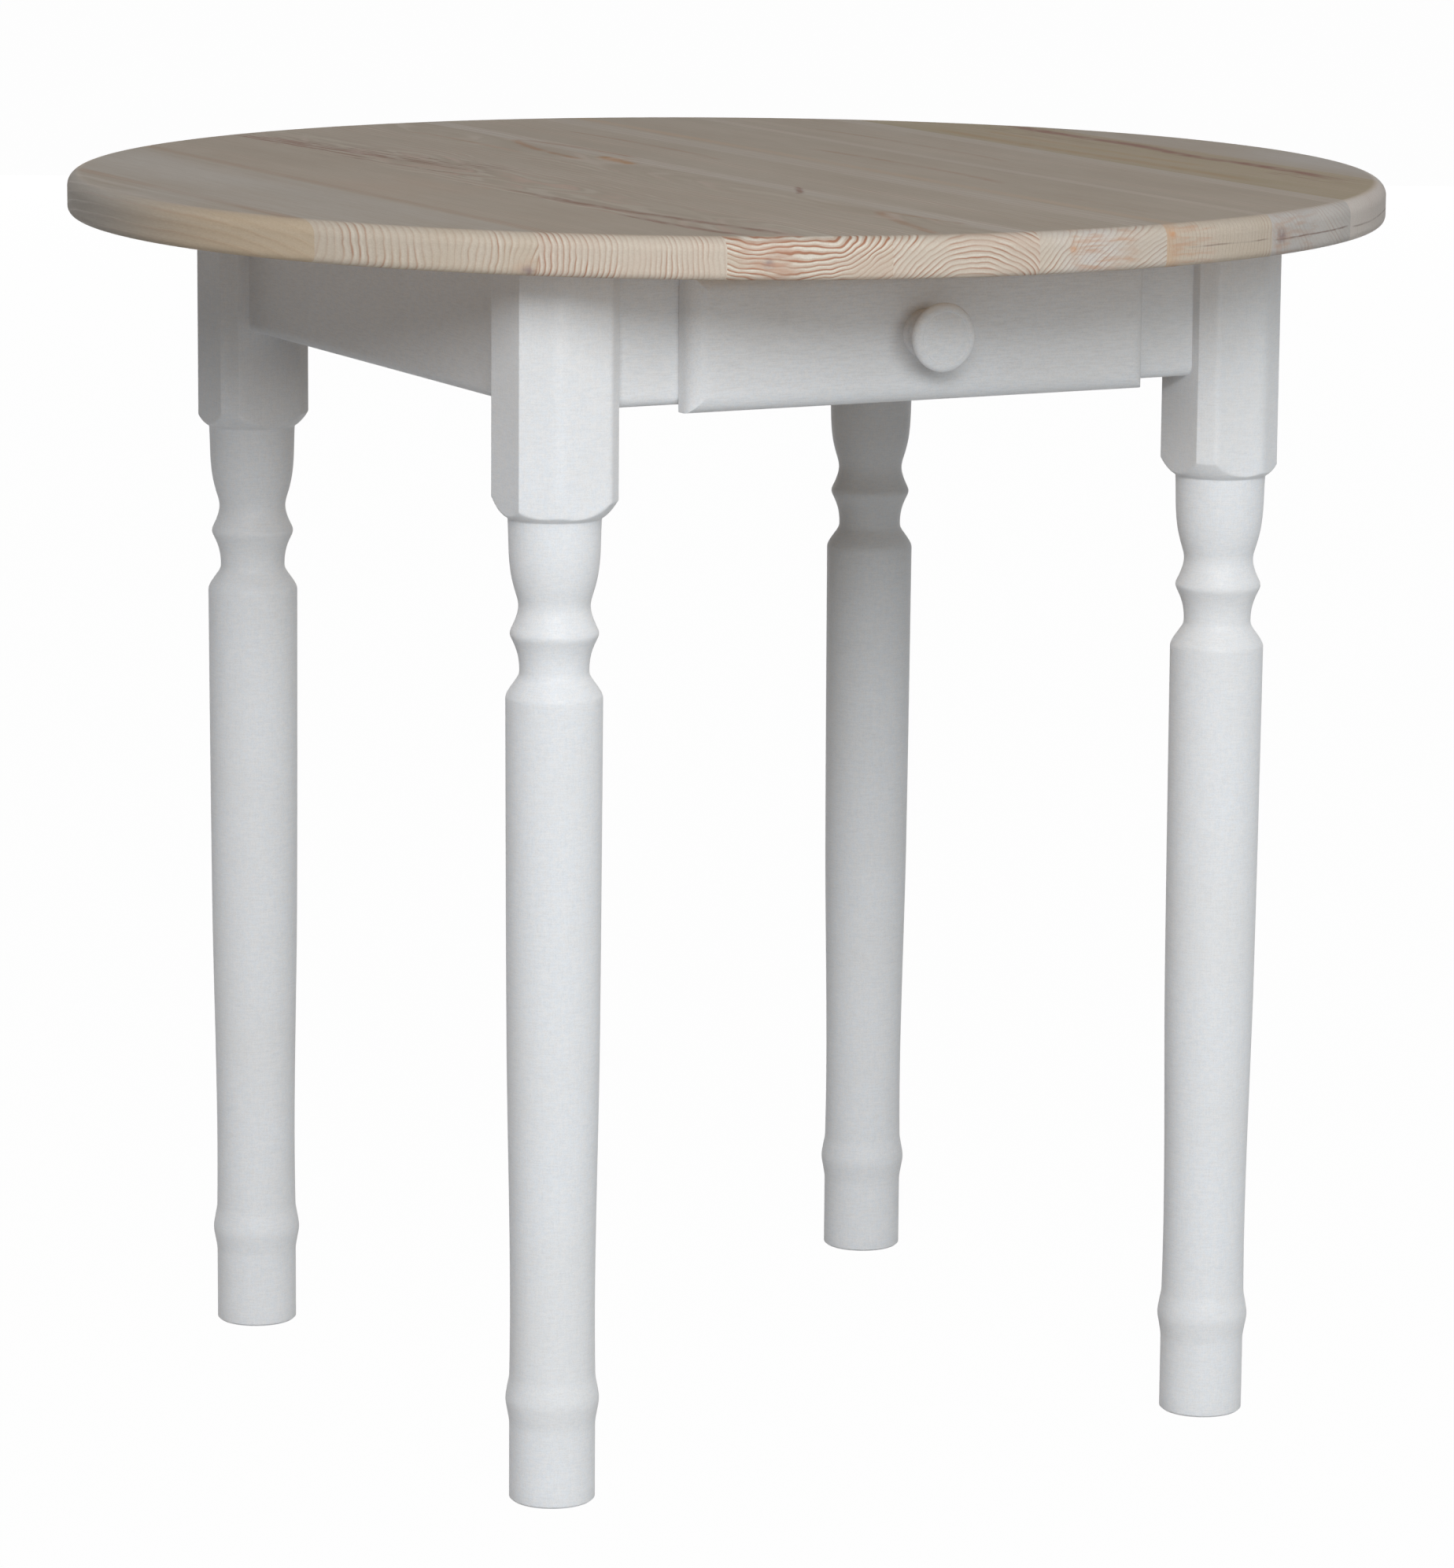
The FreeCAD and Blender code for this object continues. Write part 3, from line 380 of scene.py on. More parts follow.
lay_stave(7, 7.7, (-10.0, 745.0), 3.0, (CREAM, SAND), FACE_WARM,
          figure=(0.36, 0.32), warp=7.0,
          fade=("x", 92.0, 76.0, tone(208, 182, 156)),
          smears=[(78.0, 120.0, 0.55, tone(196, 152, 124))], score=(736.5, 92.0, 164.3, 0.5),
          tints=[(77.0, 92.0, *ALL_ALONG, 6.0, 0.40, tone(196, 160, 124)),
                 (154.0, 167.0, *ALL_ALONG, 3.0, 0.22, PALE_STRIP)],
          streaks=[([(118.0, 120.0), (124.0, 0.0), (116.0, -140.0)], 5.0, 0.45, AMBER)],
          knots=[(82.0, -390.0, 745.0, 1.8, RESIN, 9.0)])
lay_stave(8, 8.9, (300.0, 820.0), 2.8, (ASH, GREY_PINE), FACE_WARM,
          figure=(0.40, 0.30), warp=8.0, knots=[(173.0, -360.0, 737.0, 4.0, DARK_KNOT, 16.0)],
          smears=[(165.0, 215.0, 0.45, tone(190, 158, 138))], score=(735.5, 164.3, 250.6, 0.7),
          tints=[(232.0, 254.0, *ALL_ALONG, 5.0, 0.24, PALE_STRIP)],
          streaks=[([(190.0, 260.0), (196.0, 120.0), (188.0, -20.0)], 4.0, 0.40, AMBER)])
lay_stave(9, 9.4, (205.0, 735.0), 3.1, (PALE_ASH, tone(228, 220, 212)), FACE_OLIVE,
          figure=(0.36, 0.42), warp=9.0, score=(735.0, 250.6, 337.0, 0.5),
          streaks=[([(328.0, 240.0), (322.0, 150.0), (325.0, 60.0), (319.0, -20.0), (322.0, -90.0),
                     (313.0, -200.0)], 9.0, 0.95, tone(108, 60, 42)),
                   ([(268.0, 230.0), (262.0, 60.0), (266.0, -60.0), (262.0, -190.0)], 9.0, 0.5,
                    tone(150, 114, 70)),
                   ([(292.0, 200.0), (286.0, 60.0), (290.0, -90.0)], 6.0, 0.4, tone(160, 124, 80))],
          ripples=[(300.0, 330.0, -240.0, -120.0, 0.12, 6.0, 0.8),
                   (296.0, 330.0, 30.0, 220.0, 0.10, 7.0, 0.6)])
lay_stave(10, 10.8, (460.0, 730.0), 3.2, (PALE_ASH, GREY_PINE), FACE_COOL,
          figure=(0.16, 0.12), tints=[(337.0, 420.0, -420.0, 45.0, 30.0, 0.4, tone(206, 206, 206))])


# ---- the four turned legs ----
# Pine squares of 60 mm, turned from the shoulder down and left square at the head, where the
# aprons are joined. Corners are rounded or chamfered, everything is sanded and sprayed white.

LEG_X = LEG_Y = 221.0
LEG_TOP = UNDERSIDE
LEG_HALF = 30.0
OUTER_SIDE, OUTER_FRONT, OUTER_ROUND = 14.5, 18.5, 14.0
SIDE_CHAMFER = 8.5
INNER_CHAMFER = 10.0
ARRIS = 0.9
FRONT_ARRIS = 5.0
SOFT_MEETING = 0.5
SECTION_SPACING = 1.9
# Heights from the floor, radius and slope of the turned outline, in mm.
LEG_OUTLINE = [
    (0.0, 23.6, 1.0), (1.5, 25.1, 0.0), (45.0, 25.1, 0.0), (53.0, 26.2, 0.16), (60.5, 27.3, 0.0),
    (68.0, 26.3, -0.17), (75.5, 25.1, -0.02), (275.0, 27.0, 0.008), (475.0, 28.0, 0.004), (477.0, 27.6, -0.4),
    (487.0, 21.2, -0.62), (491.0, 20.05, 0.0), (502.0, 21.5, 0.30), (508.5, 24.1, 0.48), (512.5, 25.5, 0.0),
    (516.5, 24.2, -0.50), (521.5, 22.1, -0.36), (528.5, 20.7, 0.0), (538.0, 22.9, 0.28), (548.0, 25.15, 0.15),
    (578.8, 26.9, 0.06), (579.4, 27.3, 1.20), (581.0, 29.5, 1.15), (585.5, 33.6, 0.75), (591.5, 37.8, 0.75),
    (600.0, 60.0, 4.0),
]
SQUARE_FROM = LEG_OUTLINE[-1][0]


def turned_radius(z):
    """The outline's radius at a height: a fair curve through the listed places."""
    for (z0, r0, s0), (z1, r1, s1) in zip(LEG_OUTLINE, LEG_OUTLINE[1:]):
        if z <= z1:
            span = z1 - z0
            t = (z - z0) / span
            return (r0 * (2 * t ** 3 - 3 * t ** 2 + 1) + s0 * span * (t ** 3 - 2 * t ** 2 + t)
                    + r1 * (3 * t ** 2 - 2 * t ** 3) + s1 * span * (t ** 3 - t ** 2))
    return LEG_OUTLINE[-1][1]


def rounded_section(corners, spacing):
    """Points round a closed section whose corners, (x, y, radius), are eased; long sides are divided."""
    ring = []
    for number, (x, y, radius) in enumerate(corners):
        here = Vector((x, y))
        before = Vector(corners[number - 1][:2])
        after = Vector(corners[(number + 1) % len(corners)][:2])
        back, on = (before - here).normalized(), (after - here).normalized()
        half = back.angle(on) / 2
        reach = radius / math.tan(half)
        centre = here + (back + on).normalized() * (radius / math.sin(half))
        first, last = here + back * reach - centre, here + on * reach - centre
        steps = max(4, int(radius * (math.pi - 2 * half) / spacing) + 3)
        for k in range(steps + 1):
            turn = first.angle_signed(last) * -k / steps
            ring.append(centre + Vector((first.x * math.cos(turn) - first.y * math.sin(turn),
                                         first.x * math.sin(turn) + first.y * math.cos(turn))))
    divided = []
    for a, b in zip(ring, ring[1:] + ring[:1]):
        pieces = max(1, int((b - a).length / spacing))
        divided += [a.lerp(b, k / pieces) for k in range(pieces)]
    return divided


def soft_least(a, b, reach):
    """The lesser of two radii, eased where they meet."""
    near = max(reach - abs(a - b), 0.0) / reach
    return min(a, b) - near * near * reach / 4


def levels(*runs):
    """Heights in runs of (from, to, step)."""
    heights = []
    for low, high, step in runs:
        count = max(1, round((high - low) / step))
        heights += [low + (high - low) * k / count for k in range(count)]
    return heights + [runs[-1][1]]


def add_piece(name, data):
    """A new object with this data, in the scene."""
    piece = bpy.data.objects.new(name, data)
    bpy.context.scene.collection.objects.link(piece)
    return piece


def smooth(mesh, degrees):
    """Smooth shading, broken where faces meet more sharply than this."""
    mesh.polygons.foreach_set("use_smooth", [True] * len(mesh.polygons))
    mesh.set_sharp_from_angle(angle=math.radians(degrees))


def skin(name, rings, material):
    """A closed mesh through rings of points in mm, with flat ends."""
    mesh = bpy.data.meshes.new(name)
    size = len(rings[0])
    points = [tuple(value / MM for value in point) for ring in rings for point in ring]
    faces = []
    for level in range(len(rings) - 1):
        for k in range(size):
            a, b = level * size + k, level * size + (k + 1) % size
            faces.append((a, b, b + size, a + size))
    faces.append(tuple(reversed(range(size))))
    faces.append(tuple(range(len(points) - size, len(points))))
    mesh.from_pydata(points, [], faces)
    mesh.update()
    work = bmesh.new()
    work.from_mesh(mesh)
    bmesh.ops.recalc_face_normals(work, faces=work.faces)
    work.to_mesh(mesh)
    work.free()
    smooth(mesh, 35)
    mesh.materials.append(material)
    return add_piece(name, mesh)


FIBRE_WIDTH, FIBRE_LENGTH = 0.9, 9.0
LATHE_MARKS = (0.13, 0.13, 1.5)


def white_paint(name, grain, turned=False):
    """Sprayed white acrylic on sanded pine; the wood's grain runs along the axis named."""
    material, shade, surface = finish(name, {"Specular IOR Level": 0.3, "Diffuse Roughness": 0.35})
    mm = shade.millimetres()
    stretch = [1.0 / FIBRE_WIDTH] * 3
    stretch["xyz".index(grain)] = 1.0 / FIBRE_LENGTH
    along = shade.node("ShaderNodeVectorMath", {"operation": "MULTIPLY"}, {0: mm, 1: stretch})
    fibres = shade.noise(along, detail=2.0, rough=0.6)
    mist = shade.noise(mm, scale=1.0 / 0.8, detail=2.0, rough=0.7)
    cloud = shade.noise(mm, scale=1.0 / 70.0, detail=2.0)
    if turned:
        round_marks = shade.node("ShaderNodeVectorMath", {"operation": "MULTIPLY"}, {0: mm, 1: LATHE_MARKS})
        fibres = fibres * 0.4 + shade.noise(round_marks, detail=2.0) * 0.6
    cast = shade.noise(mm, scale=1.0 / 2.6, detail=2.0)
    colour = cast.step(0.3, 0.7).blend(tone(240, 240, 241), tone(235, 238, 242))
    colour = (cloud.step(0.35, 0.75) * 0.35).blend(colour, tone(233, 232, 231))
    colour = ((fibres - 0.5) * 0.7 + (mist - 0.5) * 0.7 + 0.10).most(0.0).blend(colour, tone(200, 198, 197))
    normal = shade.relief(fibres * 0.5 + mist * 0.5, 0.00009)
    put(material, surface, Base_Color=colour, Roughness=0.46 + (mist - 0.5) * 0.16, Normal=normal)
    return material


leg_paint = white_paint("paint_on_turned_legs", "z", turned=True)
leg_section = rounded_section([(-LEG_HALF, OUTER_SIDE - LEG_HALF, ARRIS),
                               (OUTER_FRONT - LEG_HALF, -LEG_HALF, OUTER_ROUND),
                               (LEG_HALF - SIDE_CHAMFER, -LEG_HALF, FRONT_ARRIS),
                               (LEG_HALF, SIDE_CHAMFER - LEG_HALF, ARRIS),
                               (LEG_HALF, LEG_HALF - INNER_CHAMFER, ARRIS),
                               (LEG_HALF - INNER_CHAMFER, LEG_HALF, ARRIS),
                               (SIDE_CHAMFER - LEG_HALF, LEG_HALF, ARRIS),
                               (-LEG_HALF, LEG_HALF - SIDE_CHAMFER, ARRIS)], SECTION_SPACING)
leg_heights = levels((0.0, 1.5, 0.3), (1.5, 43.0, 8.0), (43.0, 78.0, 1.2), (78.0, 470.0, 9.0),
                     (470.0, 578.0, 1.0), (578.0, SQUARE_FROM, 0.4), (SQUARE_FROM, LEG_TOP, 12.0))
leg_places = ((-1, -1, "front_left"), (1, -1, "front_right"), (-1, 1, "back_left"), (1, 1, "back_right"))
for side_x, side_y, place in leg_places:
    rings = []
    for z in leg_heights:
        outline = turned_radius(z)
        ring = []
        for point in leg_section:
            radius = soft_least(outline, point.length, SOFT_MEETING) if z < SQUARE_FROM else point.length
            away = point.normalized() * radius
            ring.append((side_x * (LEG_X - away.x), side_y * (LEG_Y - away.y), z))
        rings.append(ring)
    leg = skin("turned_leg_" + place, rings, leg_paint)
    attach(leg, "table")
    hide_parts("leg_" + place)


# ---- aprons, rails and stiles ----
# Pine boards of 20 mm on edge between the legs, butted against them and sprayed with the same
# white. The front apron is made up of two rails and two stiles round the drawer.

paint_along_x = white_paint("paint_on_boards_x", "x")
paint_along_y = white_paint("paint_on_boards_y", "y")
for node in ("apron_left", "apron_right"):
    wear(node, paint_along_y)
for node in ("apron_back", "front_rail_lower", "front_rail_upper", "front_stile_left", "front_stile_right"):
    wear(node, paint_along_x)


# ---- corner braces and bare strips ----
# Offcuts of unpainted pine: a mitred block across each corner, the runners, guides and kickers
# round the drawer, and the stop. They are planed, not finished, because they stay out of sight.


CORNER_BRACES = ("corner_brace_front_left", "corner_brace_front_right",
                 "corner_brace_back_left", "corner_brace_back_right")
DRAWER_STRIPS = ("runner_left", "runner_right", "guide_left", "guide_right", "kicker_left", "kicker_right")
SAME_POINT = 0.000002
SHORTEST_EASED = 0.003
PALE_PINE, DARK_PINE = tone(222, 202, 170), tone(212, 184, 146)
PINE_RING, PINE_FIBRE = tone(188, 138, 92), tone(160, 124, 88)


def eased(node, body, width, material):
    """A piece like the CAD node's, with its sharp edges broken as sandpaper or a press leaves them."""
    work = bmesh.new()
    work.from_mesh(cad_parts[node].data)
    bmesh.ops.remove_doubles(work, verts=work.verts, dist=SAME_POINT)
    bmesh.ops.dissolve_limit(work, angle_limit=math.radians(1.0), verts=work.verts, edges=work.edges)
    sharp = [edge for edge in work.edges if len(edge.link_faces) == 2 and edge.is_convex
             and edge.calc_face_angle() > math.radians(40) and edge.calc_length() > SHORTEST_EASED]
    bmesh.ops.bevel(work, geom=sharp, offset=width / MM, segments=2, profile=0.7, affect="EDGES",
                    clamp_overlap=True)
    mesh = bpy.data.meshes.new(node + "_eased")
    work.to_mesh(mesh)
    work.free()
    smooth(mesh, 50)
    mesh.materials.append(material)
    piece = add_piece(node + "_eased", mesh)
    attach(piece, body)
    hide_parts(node)


def bare_pine(name, seed, grain, pith):
    """Planed softwood with its grain along the axis named and its pith beside it."""
    material, shade, surface = finish(name, {"Specular IOR Level": 0.35})
    axes = dict(zip("xyz", shade.millimetres().parts()))
    along = axes.pop(grain)
    across, depth = axes.values()
    wobble = shade.noise(shade.vector(across / 26.0, along / 150.0 + seed, depth / 26.0), detail=2.0) - 0.5
    dx, dz = across - pith[0], depth - pith[1] + wobble * 9.0
    phase = (((dx * dx + dz * dz).root() + wobble * 5.0) / 3.1).part()
    late = phase.step(0.45, 0.85) * phase.step(1.0, 0.9)
    fibre = shade.noise(shade.vector(across / 0.6, along / 22.0, depth / 0.6), detail=1.5)
    patch = shade.noise(shade.vector(across / 30.0, along / 120.0 + seed, depth / 30.0), detail=1.0)
    colour = patch.step(0.3, 0.7).blend(PALE_PINE, DARK_PINE)
    colour = (late * 0.42).blend(colour, PINE_RING)
    colour = ((fibre - 0.5) * 0.5 + 0.1).most(0.0).blend(colour, PINE_FIBRE)
    put(material, surface, Base_Color=colour, Roughness=0.66 - late * 0.1,
        Normal=shade.relief(fibre * 0.6 + late * 0.3, 0.00012))
    return material


brace_wood = bare_pine("bare_pine_braces", 2.2, "z", (40.0, 310.0))
strip_wood = bare_pine("bare_pine_strips", 4.1, "y", (60.0, 640.0))
stop_wood = bare_pine("bare_pine_stop", 7.3, "x", (20.0, 690.0))
for node in CORNER_BRACES:
    eased(node, "table", 0.6, brace_wood)
for node in DRAWER_STRIPS:
    eased(node, "table", 0.5, strip_wood)
eased("drawer_stop", "table", 0.5, stop_wood)


# ---- steel fastenings ----
# Bright zinc-plated steel: hanger bolts with washers and nuts through the braces, angle brackets
# under the top, and pan-head screws.


def zinc(name):
    """Blue-white zinc plate with its faint cloudy bloom."""
    material, shade, surface = finish(name, {"Metallic": 1.0})
    mm = shade.millimetres()
    bloom = shade.noise(mm, scale=0.25, detail=3.0)
    grit = shade.noise(mm, scale=2.2, detail=2.0)
    colour = bloom.step(0.35, 0.7).blend(tone(196, 200, 204), tone(168, 172, 178))
    put(material, surface, Base_Color=colour, Roughness=0.30 + (bloom - 0.5) * 0.25 + (grit - 0.5) * 0.1,
        Normal=shade.relief(grit, 0.00003))
    return material


SPIN_SEED = 7


def turned_wall(shade, around, along, radius, height):
    """A grid wrapped round Z: radius and height are made from the turn and the share of its length."""
    sheet = shade.node("GeometryNodeMeshGrid", None, {"Size X": 1.0, "Size Y": 1.0, "Vertices X": around + 1,
                                                     "Vertices Y": along})
    place = shade.node("ShaderNodeSeparateXYZ", inputs={0: shade.node("GeometryNodeInputPosition")})
    angle = (place + 0.5) * (2 * math.pi)
    share = place.also("Y") + 0.5
    reach, rise = radius(share, angle), height(share)
    wrapped = shade.vector(reach * angle.math("COSINE", angle), reach * angle.math("SINE", angle), rise)
    return shade.node("GeometryNodeSetPosition", None, {"Geometry": sheet, "Position": wrapped})


def screw_tree(name, head_levels, shank_levels, around, recess=True):
    """Screws on the points of a mesh, each along its point's direction, with threads and a cross recess."""
    tree = bpy.data.node_groups.new(name, "GeometryNodeTree")
    tree.interface.new_socket("Places", in_out="INPUT", socket_type="NodeSocketGeometry")
    for label in ("Length", "Core Radius", "Thread Radius", "Head Radius", "Head Height", "Head Rim", "Plain",
                  "Fine Until", "Fine Pitch", "Wood Pitch", "Point", "Recess Width", "Recess Depth"):
        tree.interface.new_socket(label, in_out="INPUT", socket_type="NodeSocketFloat")
    tree.interface.new_socket("Seed", in_out="INPUT", socket_type="NodeSocketInt")
    tree.interface.new_socket("Material", in_out="INPUT", socket_type="NodeSocketMaterial")
    tree.interface.new_socket("Screws", in_out="OUTPUT", socket_type="NodeSocketGeometry")
    shade = Shade(tree)
    given = shade.node("NodeGroupInput")
    length, core, crest = given.also("Length"), given.also("Core Radius"), given.also("Thread Radius")
    head, crown, lip = given.also("Head Radius"), given.also("Head Height"), given.also("Head Rim")
    point = given.also("Point")

    def head_radius(share, angle):
        dome = (share / 0.8).least(1.0) * (math.pi / 2)
        seat = (share - 0.9).most(0.0) * 10.0
        return head * dome.math("POWER", dome.math("SINE", dome), 0.85) * (1.0 - seat) + core * seat

    def head_rise(share):
        dome = (share / 0.8).least(1.0) * (math.pi / 2)
        edge = ((share - 0.8) * 10.0).most(0.0).least(1.0)
        return (1.0 - edge) * lip * -1.0 - (crown - lip) * dome.math("COSINE", dome)

    def thread(level, angle, pitch):
        phase = (level / pitch - angle / (2 * math.pi)).part()
        return 1.0 - (abs(phase - 0.5) * 3.6).least(1.0)

    def shank_radius(share, angle):
        level = share * length
        fine_share = ((given.also("Fine Until") - level) / 0.0006).most(0.0).least(1.0)
        wood_share = ((level - given.also("Plain")) / 0.0012).most(0.0).least(1.0)
        fine = thread(level, angle, given.also("Fine Pitch")) * fine_share
        wood = thread(level, angle, given.also("Wood Pitch")) * wood_share
        run_out = ((length - level) / point).least(1.0)
        edge = (level / 0.0002).least(1.0)
        return (core + (fine.most(wood) * edge * (crest - core))) * run_out

    capped = turned_wall(shade, around, head_levels, head_radius, head_rise)
    shank = turned_wall(shade, around, shank_levels, shank_radius, lambda share: share * length)
    joined = shade.node("GeometryNodeJoinGeometry")
    for part in (shank, capped):
        tree.links.new(part.socket, joined.socket.node.inputs[0])
    solid = shade.node("GeometryNodeMergeByDistance", None, {"Geometry": joined, "Distance": 0.000004})
    width, depth = given.also("Recess Width"), given.also("Recess Depth")
    for long_side, short_side in ((width * 4.4, width), (width, width * 4.4)) if recess else ():
        slot_block = shade.node("GeometryNodeMeshCube", None,
                                {"Size": shade.vector(long_side, short_side, depth * 2.0)})
        at_crown = shade.vector(0.0, 0.0, crown * -1.0)
        slot_block = shade.node("GeometryNodeTransform", None,
                                {"Geometry": slot_block, "Translation": at_crown})
        solid = shade.node("GeometryNodeMeshBoolean", {"operation": "DIFFERENCE", "solver": "EXACT"},
                           {"Mesh 1": solid, "Mesh 2": slot_block})
    spin = shade.node("FunctionNodeRandomValue", {"data_type": "FLOAT"}, {"Seed": given.also("Seed")}, out=1)
    for socket, value in ((2, 0.0), (3, math.pi)):
        spin.socket.node.inputs[socket].default_value = value
    facing = shade.node("GeometryNodeInputNamedAttribute", {"data_type": "FLOAT_VECTOR"},
                        {"Name": "direction"})
    turn = shade.node("FunctionNodeAlignRotationToVector", {"axis": "Z"}, {"Vector": facing})
    about = shade.node("FunctionNodeAxisAngleToRotation", None, {"Axis": (0.0, 0.0, 1.0), "Angle": spin})
    turn = shade.node("FunctionNodeRotateRotation", {"rotation_space": "LOCAL"},
                      {"Rotation": turn, "Rotate By": about})
    laid = shade.node("GeometryNodeInstanceOnPoints", None,
                      {"Points": given.also("Places"), "Instance": solid, "Rotation": turn})
    real = shade.node("GeometryNodeRealizeInstances", None, {"Geometry": laid})
    real = shade.node("GeometryNodeSetMaterial", None, {"Geometry": real, "Material": given.also("Material")})
    end = tree.nodes.new("NodeGroupOutput")
    tree.links.new(real.socket, end.inputs[0])
    return tree


def lay_screws(name, tree, places, sizes, material, node, body):
    """Plain mesh of all the screws of one node; places are (point, direction) and sizes are in mm."""
    mesh = bpy.data.meshes.new(name + "_places")
    mesh.from_pydata([[value / MM for value in point] for point, way in places], [], [])
    ways = mesh.attributes.new("direction", "FLOAT_VECTOR", "POINT")
    for number, (point, way) in enumerate(places):
        ways.data[number].vector = way
    holder = add_piece(name + "_places", mesh)
    layer = holder.modifiers.new("screws", "NODES")
    layer.node_group = tree
    for item in tree.interface.items_tree:
        if item.in_out == "INPUT" and item.name in sizes:
            layer[item.identifier] = sizes[item.name] / MM
        elif item.in_out == "INPUT" and item.name == "Seed":
            layer[item.identifier] = SPIN_SEED
        elif item.in_out == "INPUT" and item.name == "Material":
            layer[item.identifier] = material
    bpy.context.view_layer.update()
    drawn = bpy.data.meshes.new_from_object(holder.evaluated_get(bpy.context.evaluated_depsgraph_get()))
    bpy.data.objects.remove(holder)
    drawn.name = name
    smooth(drawn, 38)
    piece = add_piece(name, drawn)
    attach(piece, body)
    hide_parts(node)


zinc_plate = zinc("zinc_plated_steel")
for node in ("hanger_nuts", "drawer_pins"):
    wear(node, zinc_plate)
for node, body, width in (("hanger_washers", "table", 0.25), ("top_brackets", "table", 0.35),
                          ("knob_washer", "drawer", 0.2)):
    eased(node, body, width, zinc_plate)

# Where the fastenings sit, in mm. Screws are placed by the surface under their heads.
APRON_INSIDE = 215.0
BRACE_MIDDLE = 683.5
BRACE_SCREW_SPREAD = 26.0
BRACE_SCREW_SEAT = 9.0
BRACE_SCREW_REACH = 73.556
BRACE_OFFSET, BRACE_THICKNESS, BOLT_BEYOND_BRACE = 43.012, 18.0, 12.1
BRACKET_SHEET, BRACKET_REACH = 2.0, 10.0
SIDE_BRACKET_Y, BACK_BRACKET_X = 95.0, 75.0
MIDDLE_SCREW_X = 62.0
RAIL_SCREW_Y, RAIL_FACE = -225.0, 712.0
STRIP_FACE, STRIP_SCREW_X, STRIP_SCREW_Y, STOP_Y = 708.8, 130.3, 140.0, -143.6
FRONT_SCREW_X, FRONT_SCREW_Y, FRONT_SCREW_HEIGHTS = 95.0, -223.3, (674.55, 700.55)
CATCH_PIVOT = (0.0, 116.7, 696.8)
KNOB_SEAT = (0.0, -222.1, 677.75)
UP, FORWARD, BACKWARD = (0.0, 0.0, 1.0), (0.0, -1.0, 0.0), (0.0, 1.0, 0.0)
DIAGONAL = math.sqrt(0.5)

PAN_HEAD = {"Core Radius": 1.35, "Thread Radius": 1.88, "Head Radius": 3.68, "Head Height": 2.38,
            "Head Rim": 0.7, "Fine Until": 0.0, "Fine Pitch": 1.0, "Wood Pitch": 1.8, "Point": 4.0,
            "Plain": 2.0, "Recess Width": 0.95, "Recess Depth": 1.3}
MACHINE_SCREW = {**PAN_HEAD, "Length": 48.2, "Core Radius": 1.62, "Thread Radius": 1.98, "Head Radius": 4.18,
                 "Head Height": 3.18, "Head Rim": 0.8, "Fine Until": 48.0, "Fine Pitch": 2.4, "Plain": 60.0,
                 "Point": 0.5, "Recess Width": 1.05, "Recess Depth": 1.6}
HANGER_BOLT = {"Length": 70.1, "Core Radius": 3.3, "Thread Radius": 3.98, "Head Radius": 3.3,
               "Head Height": 0.0, "Head Rim": 0.0, "Fine Until": 28.0, "Fine Pitch": 1.25,
               "Plain": 34.0, "Wood Pitch": 3.0, "Point": 8.0}

pan_head = screw_tree("pan_head_screws", 11, 90, 20)
corners = [(side_x, side_y) for side_x in (-1, 1) for side_y in (-1, 1)]
brace_seat, brace_reach = APRON_INSIDE - BRACE_SCREW_SEAT, APRON_INSIDE - BRACE_SCREW_REACH
brace_places = []
for side_x, side_y in corners:
    for z in (BRACE_MIDDLE - BRACE_SCREW_SPREAD / 2, BRACE_MIDDLE + BRACE_SCREW_SPREAD / 2):
        brace_places.append(((side_x * brace_reach, side_y * brace_seat, z), (0.0, side_y, 0.0)))
        brace_places.append(((side_x * brace_seat, side_y * brace_reach, z), (side_x, 0.0, 0.0)))
lay_screws("brace_pan_screws", pan_head, brace_places, {**PAN_HEAD, "Length": 24.0, "Plain": 7.0}, zinc_plate,
           "brace_screws", "table")
bracket_corners = [((side * APRON_INSIDE, y), (-side, 0.0))
                   for side in (-1, 1) for y in (-SIDE_BRACKET_Y, SIDE_BRACKET_Y)]
bracket_corners += [((x, APRON_INSIDE), (0.0, -1.0)) for x in (-BACK_BRACKET_X, BACK_BRACKET_X)]
bracket_places = []
for (x, y), (face_x, face_y) in bracket_corners:
    upright = (x + face_x * BRACKET_SHEET, y + face_y * BRACKET_SHEET, UNDERSIDE - BRACKET_REACH)
    level = (x + face_x * BRACKET_REACH, y + face_y * BRACKET_REACH, UNDERSIDE - BRACKET_SHEET)
    bracket_places += [(upright, (-face_x, -face_y, 0.0)), (level, UP)]
lay_screws("bracket_pan_screws", pan_head, bracket_places, {**PAN_HEAD, "Length": 14.0}, zinc_plate,
           "bracket_screws", "table")
lay_screws("rail_pan_screws", pan_head,
           [((x, RAIL_SCREW_Y, RAIL_FACE), UP) for x in (-MIDDLE_SCREW_X, MIDDLE_SCREW_X)],
           {**PAN_HEAD, "Length": 28.0, "Plain": 9.0}, zinc_plate, "rail_screws", "table")
strip_places = [((side * STRIP_SCREW_X, y, STRIP_FACE), UP)
                for side in (-1, 1) for y in (-STRIP_SCREW_Y, STRIP_SCREW_Y)]
strip_places += [((x, STOP_Y, STRIP_FACE), UP) for x in (-MIDDLE_SCREW_X, MIDDLE_SCREW_X)]
lay_screws("strip_pan_screws", pan_head, strip_places, {**PAN_HEAD, "Length": 28.0, "Plain": 9.0}, zinc_plate,
           "strip_screws", "table")
front_places = [((x, FRONT_SCREW_Y, z), FORWARD)
                for x in (-FRONT_SCREW_X, FRONT_SCREW_X) for z in FRONT_SCREW_HEIGHTS]
lay_screws("drawer_front_pan_screws", pan_head, front_places, {**PAN_HEAD, "Length": 24.0, "Plain": 8.0},
           zinc_plate, "drawer_front_screws", "drawer")
